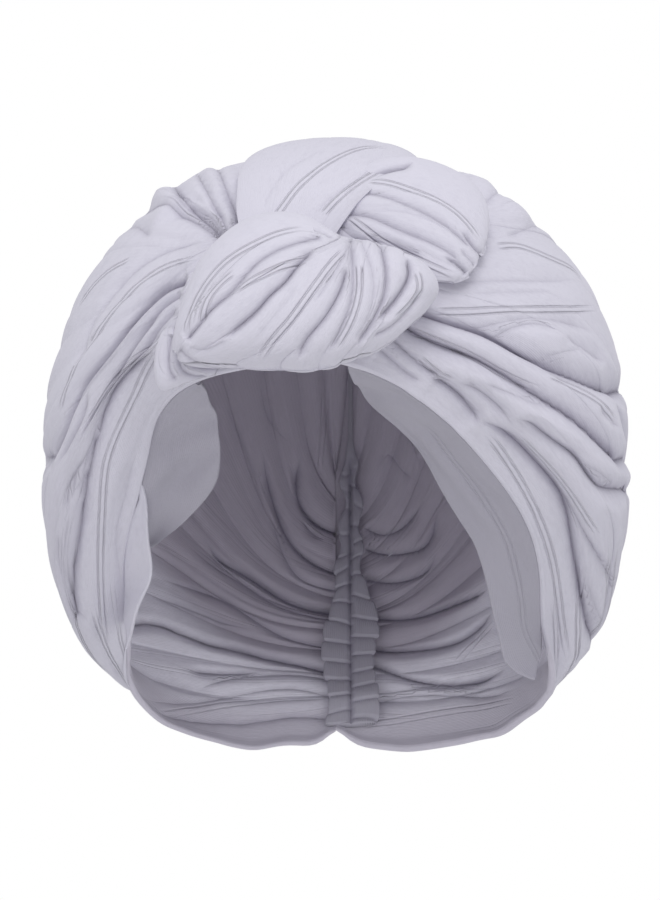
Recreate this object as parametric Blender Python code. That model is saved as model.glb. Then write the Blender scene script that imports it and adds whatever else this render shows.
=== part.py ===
"""A ready-tied turban hat of soft pleated jersey, held as a head holds it.

Two gathered side panels run from a knot over the forehead, round the sides, to a drawn-up
seam down the back. The knot is three crossed lengths of the same cloth. Facings of the
cloth lie inside the front edges, and a casing with elastic draws up the back seam.

Metres, +Z up. The wearer looks along -Y, and the origin is the centre of the head hollow.
Left and right are those of someone who faces the wearer, so the left is at -X. A direction from the origin is an azimuth from the front and a height angle, in degrees.
"""

import bmesh
import bpy
import numpy as np

# The outer envelope, which the tops of all folds touch, as reaches from the origin
HALF_WIDTH = 0.1015
FRONT_REACH = 0.098
BACK_REACH = 0.116
TOP_REACH = 0.104
BOTTOM_REACH = 0.122
TOP_ROUNDNESS = 2.2
BOTTOM_ROUNDNESS = 2.65
NAPE_TAPER = 0.13

# Cloth
CLOTH = 0.0026
HEM = 0.0024
FACING_CLOTH = 0.0014
GAP = 0.0003

# Lanes run with the pleats, from the knot round the side to the back seam. Each row is one
# lane, from the front edge (0) to the middle of the crown (1), and each pair is the
# azimuth and height angle where the lane passes a station.
STATIONS = (0.0, 0.14, 0.34, 0.55, 0.78, 0.90, 1.0)
LANES = (0.0, 0.25, 0.50, 0.75, 0.88, 1.0)
LEFT_LANES = (
    ((0, 19), (41, 14), (59, -9), (94, -36), (124, -46), (152, -52), (180, -53)),
    ((0, 30), (36, 21), (56, 2), (92, -31), (140, -37), (163, -39.5), (180, -40)),
    ((0, 40), (34, 29), (53, 14), (92, -13), (143, -22), (164, -30), (180, -32)),
    ((0, 50), (32, 40), (52, 26), (93, 10), (147, 0), (166, -19), (180, -25)),
    ((0, 56), (30, 49), (52, 46), (104, 42), (158, 24), (170, -6), (180, -15)),
    ((0, 60), (0, 74), (180, 86), (180, 62), (180, 30), (180, 12), (180, -1)),
)
RIGHT_LANES = (
    ((0, 19), (13, 15.5), (42, -3), (86, -35), (123, -47), (150, -52), (180, -53)),
    ((0, 30), (18, 26), (44, 10), (87, -20), (140, -35), (163, -39.5), (180, -40)),
    ((0, 40), (26, 34), (52, 24), (90, 0), (143, -16), (164, -29), (180, -32)),
    ((0, 50), (36, 46), (66, 40), (97, 28), (147, 12), (166, -17), (180, -25)),
    ((0, 56), (42, 54), (84, 54), (125, 46), (158, 28), (170, -5), (180, -15)),
    ((0, 60), (0, 74), (180, 86), (180, 62), (180, 30), (180, 12), (180, -1)),
)
# How far the front edge is drawn in from the envelope, as a share of the reach, at each station
LEFT_DRAWN_IN = (0.03, 0.18, 0.27, 0.21, 0.09, 0.02, 0.0)
RIGHT_DRAWN_IN = (0.03, 0.10, 0.26, 0.23, 0.06, 0.0, 0.0)
EDGE_ROLL = 0.13

# Creases between the folds of a panel. lane: where the crease lies at the knot, the side
# and the seam. depth: in millimetres, at the same three places.
CREASE_STATIONS = (0.14, 0.55, 1.0)
LEFT_CREASES = (
    {"lane": (0.06, 0.10, 0.10), "depth": (1.0, 1.0, 1.5)},
    {"lane": (0.24, 0.23, 0.19), "depth": (4.0, 4.0, 4.5)},
    {"lane": (0.40, 0.42, 0.30), "depth": (4.5, 4.5, 4.5)},
    {"lane": (0.54, 0.58, 0.42), "depth": (4.0, 4.0, 4.5)},
    {"lane": (0.65, 0.69, 0.55), "depth": (4.5, 3.5, 4.5)},
    {"lane": (0.75, 0.78, 0.67), "depth": (4.0, 3.5, 4.5)},
    {"lane": (0.84, 0.86, 0.76), "depth": (4.5, 3.5, 4.5)},
    {"lane": (0.89, 0.91, 0.84), "depth": (5.5, 5.5, 4.5)},
    {"lane": (0.93, 0.945, 0.91), "depth": (4.5, 4.5, 4.0)},
    {"lane": (0.965, 0.97, 0.96), "depth": (3.0, 2.0, 3.0)},
)
RIGHT_CREASES = (
    {"lane": (0.06, 0.09, 0.10), "depth": (1.0, 1.5, 1.5)},
    {"lane": (0.20, 0.20, 0.19), "depth": (4.5, 5.0, 4.5)},
    {"lane": (0.32, 0.35, 0.30), "depth": (5.5, 6.0, 4.5)},
    {"lane": (0.43, 0.49, 0.42), "depth": (5.0, 6.0, 4.5)},
    {"lane": (0.55, 0.61, 0.55), "depth": (3.0, 3.0, 4.5)},
    {"lane": (0.66, 0.73, 0.67), "depth": (3.5, 3.5, 4.5)},
    {"lane": (0.78, 0.83, 0.76), "depth": (4.0, 4.5, 4.5)},
    {"lane": (0.86, 0.885, 0.84), "depth": (4.0, 4.5, 4.5)},
    {"lane": (0.93, 0.94, 0.91), "depth": (4.0, 3.5, 4.0)},
    {"lane": (0.965, 0.97, 0.96), "depth": (2.5, 2.0, 3.0)},
)
PANELS = {
    "left_panel": (-1, LEFT_LANES, LEFT_DRAWN_IN, LEFT_CREASES),
    "right_panel": (1, RIGHT_LANES, RIGHT_DRAWN_IN, RIGHT_CREASES),
}
PANEL_COLUMNS = 29
FOLDS = len(LEFT_CREASES) + 1
DEEPEST_FOLD = 0.0055
FOLD_SHARE = 0.36  # the deepest a crease goes, as a share of its fold's width
FOLD_ROUNDNESS = 2.6  # how squarely a fold's top is rounded, as a power of the share across it
INNER_FOLD = 0.0028  # depth of the creases inside the back, which lie between the outer ones

# The knot: each length of cloth is a cushion on the envelope, drawn on a plane that touches
# it at `centre` (azimuth to the wearer's left, height angle). Outline rows are (across, up,
# height above the envelope) and crease rows (across, up), in millimetres on that plane.
# crest: height of the middle; fullness: how squarely the top is rounded.
LOBES = {
    "knot_loop": {
        "centre": (-5, 30),
        "outline": (
            (39, 1, 8), (34, 10, 7), (22, 15, 7), (10, 15, 8), (-4, 21, 8), (-19, 20, 8),
            (-32, 9, 8), (-39, -6, 8), (-43, -19, 8), (-41, -27, 8), (-21, -27, 10),
            (-2, -28, 11), (13, -25, 11), (26, -17, 10), (36, -6, 9),
        ),
        "crest": 27, "fullness": 2.4,
        "creases": (
            {"line": ((9, 9), (-12, 5), (-30, -9), (-37, -24)), "depth": 2.5, "width": 3.0},
            {"line": ((3, 2), (-13, -12), (-30, -24)), "depth": 3.0, "width": 3.2},
            {"line": ((11, 6), (2, -6), (-8, -18), (-15, -28)), "depth": 2.5, "width": 3.0},
            {"line": ((12, 6), (10, -7), (5, -16), (-3, -27)), "depth": 2.5, "width": 3.0},
            {"line": ((20, 14), (20, 1), (13, -14), (7, -26)), "depth": 2.5, "width": 3.2},
            {"line": ((29, 10), (29, 0), (20, -12), (14, -24)), "depth": 3.0, "width": 3.2},
        ),
        "under": (),
    },
    "knot_band": {
        "centre": (-3, 60),
        "outline": (
            (-26, -36, 6), (-28, -14, 6), (-28, 8, 5), (-24, 30, 2), (-10, 46, 1),
            (8, 50, 1), (26, 42, 1), (35, 26, 2), (29, 10, 5), (21, -1, 6), (11, -16, 7),
            (3, -34, 7), (-12, -38, 7),
        ),
        "crest": 10, "fullness": 3.0,
        "creases": (
            {"line": ((-16, -36), (-4, -14), (12, 8), (30, 24)), "depth": 1.0, "width": 3.0},
        ),
        "under": ("knot_loop",),
    },
    "knot_side_band": {
        "centre": (25, 47),
        "outline": (
            (-29, 15, 4), (-36, 4, 4), (-26, -8, 5), (-16, -17, 5), (-8, -27, 5), (3, -27, 5),
            (10, -20, 5), (15, -11, 4), (18, 0, 3), (16, 11, 2), (6, 21, 2), (-8, 26, 2),
            (-20, 22, 3),
        ),
        "crest": 12, "fullness": 3.0,
        "creases": (
            {"line": ((-30, 8), (-14, 10), (4, 0), (12, -16)), "depth": 2.5, "width": 3.5},
            {"line": ((-34, 2), (-18, -2), (-4, -14), (2, -26)), "depth": 2.5, "width": 3.5},
        ),
        "under": ("knot_loop", "knot_band"),
    },
    "knot_tuck": {
        "centre": (-35, 18),
        "outline": (
            (-4, 11, 2), (2, 13, 2), (6, 7, 2), (11, 2, 2), (20, 0, 3), (23, -5, 3),
            (16, -9, 3), (8, -12, 3), (1, -12, 2), (-3, -5, 2),
        ),
        "crest": 7, "fullness": 2.4,
        "creases": (
            {"line": ((6, 8), (5, -2), (4, -13)), "depth": 2.0, "width": 2.6},
            {"line": ((5, -2), (14, -3), (22, -5)), "depth": 2.0, "width": 2.6},
        ),
        "under": ("knot_loop",),
    },
}
CHART_RADIUS = 0.100
LOBE_SPOKES = 42
LOBE_RINGS = (0.18, 0.35, 0.50, 0.63, 0.75, 0.85, 0.93, 0.98, 1.0)
UNDER_RINGS = (0.93, 0.62, 0.30)
UNDER_CLEARS = (0.4, 0.8, 0.9)  # millimetres above the envelope, more where the faces are wide
CUTTER_SUNK = 4.0  # millimetres
CUTTER_SWELL = 1.3  # in gaps, so that flat faces on both sides still leave one

# Facings: a loose sheet from the front edge into the hollow. Each row is a station along the
# front edge, and where the sheet's free edge lies there: x, y, z in millimetres.
FACINGS = {
    "left_facing": {
        "panel": "left_panel",
        "columns": (3, 16),
        "rows": (
            {"station": 0.10, "free_edge": (-25, -48, 24)},
            {"station": 0.20, "free_edge": (-32, -40, 11)},
            {"station": 0.28, "free_edge": (-41, -33, -2)},
            {"station": 0.345, "free_edge": (-45, -29, -14)},
            {"station": 0.40, "free_edge": (-53, -25, -24)},
            {"station": 0.45, "free_edge": (-62, -18, -33)},
            {"station": 0.50, "free_edge": (-66, -6, -46)},
            {"station": 0.58, "free_edge": (-63, 15, -57)},
        ),
    },
    "right_facing": {
        "panel": "right_panel",
        "columns": (2, 19),
        "rows": (
            {"station": 0.05, "free_edge": (2, -60, 26)},
            {"station": 0.16, "free_edge": (10, -54, 18)},
            {"station": 0.25, "free_edge": (17, -48, 10)},
            {"station": 0.36, "free_edge": (32, -38, -8)},
            {"station": 0.42, "free_edge": (44, -30, -22)},
            {"station": 0.475, "free_edge": (49, -20, -36)},
            {"station": 0.55, "free_edge": (54, -4, -51)},
            {"station": 0.68, "free_edge": (60, 18, -71)},
        ),
    },
}
FACING_CLEAR = 0.0008
FACING_ROWS = 6
FACING_BELLY = 0.10  # bow of the sheet towards the back, as a share of its width

# Casing over the elastic: it runs up the back seam, from above the nape to the crown
CASING_HALF_WIDTH = 0.008
CASING_DEPTH = 0.0034
CASING_CLEAR = 0.0008
CASING_LANES = (0.03, 0.99)
CASING_ROWS = 26
CASING_PROFILE = (-1.0, -0.4, 0.4, 1.0)  # places across it, as shares of its half width
CASING_BOW = 0.0006  # how far its long edges curl into the hollow

# Colour, roughness: all one jersey, and the casing sits in the hollow
JERSEY = ((0.60, 0.58, 0.68, 1.0), 0.9)
LINING = ((0.42, 0.40, 0.50, 1.0), 0.9)


def smooth(x, start, end):
    """Eased step from 0 at start to 1 at end."""
    x = np.clip((x - start) / (end - start), 0, 1)
    return x * x * (3 - 2 * x)


def spline_weights(knots, at):
    """Each knot's share in a natural cubic spline read at the places `at`."""
    knots, at = np.asarray(knots, float), np.asarray(at, float)
    count, step = len(knots), np.diff(knots)
    rows, slopes = np.eye(count), np.zeros((count, count))
    for i in range(1, count - 1):
        before, after = step[i - 1], step[i]
        rows[i, i - 1 : i + 2] = before, 2 * (before + after), after
        slopes[i, i - 1 : i + 2] = 6 / before, -6 / before - 6 / after, 6 / after
    bend, unit = np.linalg.solve(rows, slopes), np.eye(count)
    i = np.clip(np.searchsorted(knots, at, side="right") - 1, 0, count - 2)
    span = step[i][..., None]
    past = (at - knots[i])[..., None]
    left = (knots[i + 1] - at)[..., None]
    return (
        bend[i] * (left**3 / span - span * left) / 6
        + bend[i + 1] * (past**3 / span - span * past) / 6
        + (unit[i] * left + unit[i + 1] * past) / span
    )


def compass(azimuth, height, side=1):
    """Unit vector at an azimuth from the front, to the given side, and a height angle."""
    azimuth, height = np.radians(azimuth), np.radians(height)
    flat = np.cos(height)
    return np.stack(
        [side * flat * np.sin(azimuth), -flat * np.cos(azimuth), np.sin(height)], -1
    )


def unit(vectors):
    return vectors / np.maximum(np.linalg.norm(vectors, axis=-1, keepdims=True), 1e-12)


def reach(direction):
    """Distance from the origin to the envelope: a superellipsoid, deeper at the back and
    squarer below."""
    x, y, z = np.moveaxis(direction, -1, 0)
    low = smooth(z, 0.25, -0.35)
    deep = FRONT_REACH + (BACK_REACH - FRONT_REACH) * smooth(y, -0.35, 0.35)
    tall = TOP_REACH + (BOTTOM_REACH - TOP_REACH) * low
    power = TOP_ROUNDNESS + (BOTTOM_ROUNDNESS - TOP_ROUNDNESS) * low
    total = (
        abs(x / HALF_WIDTH) ** power + abs(y / deep) ** power + abs(z / tall) ** power
    )
    return total ** (-1 / power)


def taper(points):
    """Draws the lower back in towards the neck."""
    share = smooth(points[..., 2], 0.0, -0.1) * smooth(points[..., 1], -0.02, 0.05)
    points[..., 1] *= 1 - NAPE_TAPER * share
    return points


def envelope(panel, s, t):
    """Points of a panel's envelope at lanes s and stations t."""
    side, lanes, drawn_in, _ = PANELS[panel]
    table = np.array(lanes, float)
    along = spline_weights(STATIONS, t)
    across = spline_weights(LANES, s)
    marks = compass(table[..., 0], table[..., 1], side)
    direction = unit(np.einsum("...l,...k,lkc->...c", across, along, marks))
    pull = (along @ np.array(drawn_in)) * np.exp(
        -((np.maximum(s, 0) / EDGE_ROLL) ** 1.5)
    )
    return taper((reach(direction) * (1 - pull))[..., None] * direction)


def outward(panel, s, t):
    """Unit normals of the envelope, kept in the middle plane along the panel's joins."""
    small = 0.004
    s_low, s_high = np.clip(s - small, 0, 1), np.clip(s + small, 0, 1)
    t_low, t_high = np.clip(t - small, 0, 1), np.clip(t + small, 0, 1)
    down_s = envelope(panel, s_high, t) - envelope(panel, s_low, t)
    down_t = envelope(panel, s, t_high) - envelope(panel, s, t_low)
    normal = unit(np.cross(down_t, down_s)) * PANELS[panel][0]
    near_join = [smooth(s, 0.97, 1.0), smooth(t, 0.03, 0.0), smooth(t, 0.97, 1.0)]
    normal[..., 0] *= 1 - np.maximum.reduce(near_join)
    return unit(normal)


def crease_places(panel, t):
    """Lane and depth of every crease at stations t, with the two edges as the end rows."""
    creases = PANELS[panel][3]
    weights = spline_weights(CREASE_STATIONS, np.maximum(t, CREASE_STATIONS[0]))
    lane = np.array([c["lane"] for c in creases]) @ weights.T
    depth = np.array([c["depth"] for c in creases]) @ weights.T / 1000
    edge = np.zeros((1, len(t)))
    lane = np.concatenate([edge, lane, edge + 1])
    place = envelope(panel, lane, np.broadcast_to(t, lane.shape))
    width = np.linalg.norm(np.diff(place, axis=0), axis=-1)
    limit = FOLD_SHARE * np.minimum(width[:-1], width[1:])
    depth = np.concatenate([edge, np.minimum(depth, limit), edge + 0.0005])
    return lane, depth


def fold_grid(panel, shares):
    """Lanes, stations and crease depths of a grid with a row at each of the given shares of
    every fold, from one crease to the next."""
    t = np.linspace(0, 1, PANEL_COLUMNS)
    lane, depth = crease_places(panel, t)
    share = np.array(shares)[None, :, None]
    low, high = lane[:-1, None], lane[1:, None]
    s = (low + (high - low) * share).reshape(-1, len(t))
    s = np.concatenate([s, lane[-1:]])
    return s, np.broadcast_to(t, s.shape), depth


def outer_face(panel):
    """The folded outer cloth: each crease is a cusp, so a fold between two is a round roll."""
    shares = (0.0, 0.3, 0.7)
    s, t, depth = fold_grid(panel, shares)
    share = np.array(shares)[None, :, None]
    dent = depth[:-1, None] * (1 - share) ** FOLD_ROUNDNESS
    dent = dent + depth[1:, None] * share**FOLD_ROUNDNESS
    dent = np.concatenate([dent.reshape(-1, dent.shape[-1]), depth[-1:]])
    return envelope(panel, s, t) - dent[..., None] * outward(panel, s, t)


def inner_depth(s, t):
    """How far inside the envelope the tops of the inner folds lie."""
    return HEM + smooth(s, 0.0, 0.13) * (CLOTH + DEEPEST_FOLD - HEM)


def inner_face(panel):
    """The inside of the cloth: flat at the sides, gathered into folds towards the seam."""
    s, t, _ = fold_grid(panel, (0.0, 0.5))
    depth = inner_depth(s, t)
    gathered = smooth(t, 0.55, 0.80) * smooth(s, 0.10, 0.16)
    depth[1::2] -= INNER_FOLD * gathered[1::2]
    return envelope(panel, s, t) - depth[..., None] * outward(panel, s, t)


def wall_faces(outer_shape, inner_shape):
    """Faces of a closed wall between two grids with the same columns. A row of the inner
    grid stands for several of the outer one, so the two end strips are many-sided."""
    (outer_rows, columns), (inner_rows, _) = outer_shape, inner_shape
    outer = np.arange(outer_rows * columns).reshape(outer_rows, columns)
    inner = outer.size + np.arange(inner_rows * columns).reshape(inner_rows, columns)
    faces = []
    for grid, turned in ((outer, False), (inner, True)):
        corners = (grid[:-1, :-1], grid[:-1, 1:], grid[1:, 1:], grid[1:, :-1])
        quads = np.stack(corners, -1).reshape(-1, 4)
        faces += (quads[:, ::-1] if turned else quads).tolist()
    for row, turned in ((0, False), (-1, True)):
        quads = np.stack(
            [inner[row, :-1], inner[row, 1:], outer[row, 1:], outer[row, :-1]], -1
        )
        faces += (quads[:, ::-1] if turned else quads).tolist()
    outer_step, inner_step = (outer_rows - 1) // FOLDS, (inner_rows - 1) // FOLDS
    for column, turned in ((0, False), (-1, True)):
        for fold in range(FOLDS):
            out_rows = outer[fold * outer_step : (fold + 1) * outer_step + 1, column]
            in_rows = inner[fold * inner_step : (fold + 1) * inner_step + 1, column]
            ring = [*out_rows.tolist(), *in_rows[::-1].tolist()]
            faces.append(ring[::-1] if turned else ring)
    return faces


def make_object(name, points, faces, look):
    """A named object from points and faces, turned to face outwards, with its material."""
    mesh = bpy.data.meshes.new(name)
    mesh.from_pydata(points.reshape(-1, 3).tolist(), [], faces)
    draft = bmesh.new()
    draft.from_mesh(mesh)
    bmesh.ops.triangulate(draft, faces=draft.faces)
    bmesh.ops.recalc_face_normals(draft, faces=draft.faces)
    draft.to_mesh(mesh)
    draft.free()
    part = bpy.data.objects.new(name, mesh)
    bpy.context.scene.collection.objects.link(part)
    material = bpy.data.materials.new(name)
    material.use_nodes = True
    shader = material.node_tree.nodes["Principled BSDF"]
    shader.inputs["Base Color"].default_value = look[0]
    shader.inputs["Roughness"].default_value = look[1]
    mesh.materials.append(material)
    mesh.shade_smooth()
    return part


def make_panel(name):
    """A gathered side panel, kept to its own side of the middle plane."""
    outer, inner = outer_face(name), inner_face(name)
    points = np.concatenate([outer.reshape(-1, 3), inner.reshape(-1, 3)])
    side = PANELS[name][0]
    points[:, 0] = side * np.maximum(side * points[:, 0], GAP / 2)
    return make_object(name, points, wall_faces(outer.shape[:2], inner.shape[:2]), JERSEY)


def closed_curve(points, count):
    """Catmull-Rom curve through a closed ring of points."""
    points = np.array(points, float)
    place = np.linspace(0, len(points), count, endpoint=False)
    k, u = place.astype(int), (place % 1)[:, None]
    before, start, end, after = (points[(k + i) % len(points)] for i in (-1, 0, 1, 2))
    return start + 0.5 * u * (
        end - before
        + u * (2 * before - 5 * start + 4 * end - after + u * (3 * (start - end) + after - before))
    )


def chart_axes(centre):
    """Directions of a chart's middle, and of across and up on it."""
    middle = compass(*centre)
    across = unit(np.array([-middle[1], middle[0], 0.0]))
    return middle, across, np.cross(middle, across)


def on_chart(lobe, place, height):
    """Points at a height above the envelope, over places in millimetres on a chart."""
    middle, across, up = chart_axes(lobe["centre"])
    direction = unit(
        CHART_RADIUS * middle
        + place[..., :1] / 1000 * across
        + place[..., 1:] / 1000 * up
    )
    return (reach(direction) + height / 1000)[..., None] * direction


def line_distance(place, line):
    """Distance from places to a bent line."""
    line = np.array(line, float)
    best = np.full(place.shape[:-1], np.inf)
    for start, end in zip(line, line[1:]):
        step = end - start
        share = np.clip((place - start) @ step / (step @ step), 0, 1)
        away = np.linalg.norm(place - start - share[..., None] * step, axis=-1)
        best = np.minimum(best, away)
    return best


def lobe_points(lobe, sunk=0.0):
    """A cushion of cloth: rings from the middle of its top out to the outline, then in under
    it to the middle of its underside, which lies lower by `sunk` millimetres."""
    rim, waist = np.split(closed_curve(lobe["outline"], LOBE_SPOKES), [2], axis=1)
    middle = rim.mean(axis=0)
    rings = np.array(LOBE_RINGS)[:, None, None]
    top = middle + rings * (rim - middle)
    rise = (1 - rings[..., 0] ** lobe["fullness"]) ** (1 / 2.2)
    height = waist[:, 0] + (lobe["crest"] - waist[:, 0]) * rise
    for crease in lobe["creases"]:
        near = line_distance(top, crease["line"]) / crease["width"]
        height -= crease["depth"] * np.exp(-near**1.5) * smooth(rise, 0.0, 0.6)
    under = middle + np.array(UNDER_RINGS)[:, None, None] * (rim - middle)
    clear = np.array(UNDER_CLEARS)[:, None] - sunk * np.ones(LOBE_SPOKES)
    rows = [
        on_chart(lobe, middle[None], np.array([lobe["crest"]])),
        on_chart(lobe, top, height).reshape(-1, 3),
        on_chart(lobe, under, clear).reshape(-1, 3),
        on_chart(lobe, middle[None], clear[-1, :1]),
    ]
    return np.concatenate(rows)


def lobe_faces():
    """Faces of a cushion: a fan, rings of quads, and a fan again."""
    rings = len(LOBE_RINGS) + len(UNDER_RINGS)
    spoke = np.arange(LOBE_SPOKES)
    beside = (spoke + 1) % LOBE_SPOKES
    ring = 1 + np.arange(rings)[:, None] * LOBE_SPOKES
    here, there = ring + spoke, ring + beside
    quads = np.stack([here[:-1], there[:-1], there[1:], here[1:]], -1).reshape(-1, 4)
    last = 1 + rings * LOBE_SPOKES
    first_fan = np.stack([np.zeros_like(spoke), beside + 1, spoke + 1], -1)
    last_fan = np.stack([np.full_like(spoke, last), here[-1], there[-1]], -1)
    return quads.tolist() + first_fan.tolist() + last_fan.tolist()


def make_cutter(name):
    """A lobe swollen by the gap and sunk below the envelope, to cut what lies under it."""
    points = lobe_points(LOBES[name], CUTTER_SUNK)
    cutter = make_object(f"{name}_cutter", points, lobe_faces(), JERSEY)
    for vertex in cutter.data.vertices:
        vertex.co += vertex.normal * GAP * CUTTER_SWELL
    cutter.hide_render = True
    cutter.display_type = "WIRE"
    return cutter


def make_knot():
    """The crossed lengths of the knot, each cut back by those that lie over it."""
    cutters = {name: make_cutter(name) for name in ("knot_loop", "knot_band")}
    for name, lobe in LOBES.items():
        part = make_object(name, lobe_points(lobe), lobe_faces(), JERSEY)
        for over in lobe["under"]:
            cut = part.modifiers.new(over, "BOOLEAN")
            cut.operation = "DIFFERENCE"
            cut.solver = "EXACT"
            cut.object = cutters[over]


def make_facing(name):
    """A facing: a thin sheet from its panel's front edge to its free edge in the hollow."""
    plan = FACINGS[name]
    panel = plan["panel"]
    first, last = plan["columns"]
    t = np.linspace(0, 1, PANEL_COLUMNS)[first : last + 1]
    s = np.zeros_like(t)
    edge = envelope(panel, s, t) - HEM / 2 * outward(panel, s, t)
    free = np.array([row["free_edge"] for row in plan["rows"]]) / 1000
    free = spline_weights([row["station"] for row in plan["rows"]], t) @ free
    off_the_edge = unit(envelope(panel, s, t) - envelope(panel, s + 0.05, t))
    start = edge + (FACING_CLEAR + FACING_CLOTH / 2) * off_the_edge
    share = np.linspace(0, 1, FACING_ROWS)[:, None, None]
    sheet = start + (free - start) * share
    width = np.linalg.norm(free - start, axis=-1)[:, None]
    sheet = sheet + FACING_BELLY * 4 * share * (1 - share) * width * np.array([0, 1, 0])
    along = np.gradient(sheet, axis=1)
    across = np.gradient(sheet, axis=0)
    normal = unit(np.cross(along, across)) * FACING_CLOTH / 2
    make_slab(name, sheet + normal, sheet - normal, LINING)


def make_slab(name, outer, inner, look):
    """A closed slab between two grids of one shape."""
    rows, columns = outer.shape[:2]
    points = np.concatenate([outer.reshape(-1, 3), inner.reshape(-1, 3)])
    grid = np.arange(rows * columns).reshape(rows, columns)
    faces = []
    for layer, turned in ((grid, False), (grid + grid.size, True)):
        corners = (layer[:-1, :-1], layer[:-1, 1:], layer[1:, 1:], layer[1:, :-1])
        quads = np.stack(corners, -1).reshape(-1, 4)
        faces += (quads[:, ::-1] if turned else quads).tolist()
    border = np.concatenate([grid[0, :-1], grid[:-1, -1], grid[-1, :0:-1], grid[:0:-1, 0]])
    after = np.roll(border, -1)
    edge = np.stack([border, border + grid.size, after + grid.size, after], -1)
    return make_object(name, points, faces + edge.tolist(), look)


def make_casing():
    """The casing up the back seam: a flat strip just inside both panels."""
    s = np.linspace(*CASING_LANES, CASING_ROWS)
    t = np.ones_like(s)
    seam = envelope("left_panel", s, t)
    normal = outward("left_panel", s, t)
    seam[:, 0] = 0
    near = inner_depth(s, t) + CASING_CLEAR
    across = np.array(CASING_PROFILE) * CASING_HALF_WIDTH
    offset = np.zeros((1, len(across), 3))
    offset[0, :, 0] = across
    bow = CASING_BOW * np.array(CASING_PROFILE) ** 2
    away = near[:, None] + bow
    outer = seam[:, None] - away[..., None] * normal[:, None] + offset
    inner = outer - CASING_DEPTH * normal[:, None]
    make_slab("back_casing", outer, inner, LINING)


def build():
    for old in list(bpy.data.objects):
        bpy.data.objects.remove(old, do_unlink=True)
    for name in PANELS:
        make_panel(name)
    make_knot()
    for name in FACINGS:
        make_facing(name)
    make_casing()


build()
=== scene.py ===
"""A ready-tied turban hat of pleated jersey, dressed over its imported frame.

Metres, +Z up. The wearer looks along -Y, and the origin is the centre of the head hollow.
Left and right are the viewer's. Every cloth surface is a grid of two parameters, worked out
with whole numpy arrays: a lane s across the pleats, from the front edge (0) to the middle of
the crown (1), and a station t along them, from the knot (0) round the side to the back
seam (1). The envelope, the lanes and the creases repeat the sizes of the frame's source.
Where the hat is seen from the front, courses laid on its surfaces add single creases and sewn
lines to them.
"""

import bpy
import numpy as np
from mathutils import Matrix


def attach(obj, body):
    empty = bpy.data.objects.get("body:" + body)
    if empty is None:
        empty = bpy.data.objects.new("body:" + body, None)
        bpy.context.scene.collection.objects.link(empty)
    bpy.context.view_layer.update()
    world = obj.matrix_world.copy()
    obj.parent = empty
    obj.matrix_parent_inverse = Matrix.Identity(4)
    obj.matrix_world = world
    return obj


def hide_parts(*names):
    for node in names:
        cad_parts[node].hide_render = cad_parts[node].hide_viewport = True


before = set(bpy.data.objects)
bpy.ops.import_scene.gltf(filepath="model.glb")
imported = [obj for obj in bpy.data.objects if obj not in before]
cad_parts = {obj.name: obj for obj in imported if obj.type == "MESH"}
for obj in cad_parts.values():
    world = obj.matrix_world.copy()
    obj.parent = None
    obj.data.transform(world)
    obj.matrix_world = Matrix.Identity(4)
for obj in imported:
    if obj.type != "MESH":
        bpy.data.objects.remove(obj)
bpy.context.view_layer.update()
BODY = "root"
MM = 0.001

# The outer envelope, which the tops of all folds touch, as reaches from the origin
HALF_WIDTH = 0.1015
FRONT_REACH = 0.098
BACK_REACH = 0.116
TOP_REACH = 0.104
BOTTOM_REACH = 0.122
TOP_ROUNDNESS = 2.2
BOTTOM_ROUNDNESS = 2.65
NAPE_TAPER = 0.13

# Cloth
CLOTH = 0.0026
HEM = 0.0024

# Where each lane passes each station: azimuth from the front and height angle, in degrees
STATIONS = (0.0, 0.14, 0.34, 0.55, 0.78, 0.90, 1.0)
LANES = (0.0, 0.25, 0.50, 0.75, 0.88, 1.0)
LEFT_LANES = (
    ((0, 19), (41, 14), (59, -9), (94, -36), (124, -46), (152, -52), (180, -53)),
    ((0, 30), (36, 21), (56, 2), (92, -31), (140, -37), (163, -39.5), (180, -40)),
    ((0, 40), (34, 29), (53, 14), (92, -13), (143, -22), (164, -30), (180, -32)),
    ((0, 50), (32, 40), (52, 26), (93, 10), (147, 0), (166, -19), (180, -25)),
    ((0, 56), (30, 49), (52, 46), (104, 42), (158, 24), (170, -6), (180, -15)),
    ((0, 60), (0, 74), (180, 86), (180, 62), (180, 30), (180, 12), (180, -1)),
)
RIGHT_LANES = (
    ((0, 19), (13, 15.5), (42, -3), (86, -35), (123, -47), (150, -52), (180, -53)),
    ((0, 30), (18, 26), (44, 10), (87, -20), (140, -35), (163, -39.5), (180, -40)),
    ((0, 40), (26, 34), (52, 24), (90, 0), (143, -16), (164, -29), (180, -32)),
    ((0, 50), (36, 46), (66, 40), (97, 28), (147, 12), (166, -17), (180, -25)),
    ((0, 56), (42, 54), (84, 54), (125, 46), (158, 28), (170, -5), (180, -15)),
    ((0, 60), (0, 74), (180, 86), (180, 62), (180, 30), (180, 12), (180, -1)),
)
LEFT_DRAWN_IN = (0.03, 0.18, 0.27, 0.21, 0.09, 0.02, 0.0)
RIGHT_DRAWN_IN = (0.03, 0.10, 0.26, 0.23, 0.06, 0.0, 0.0)
EDGE_ROLL = 0.13

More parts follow.
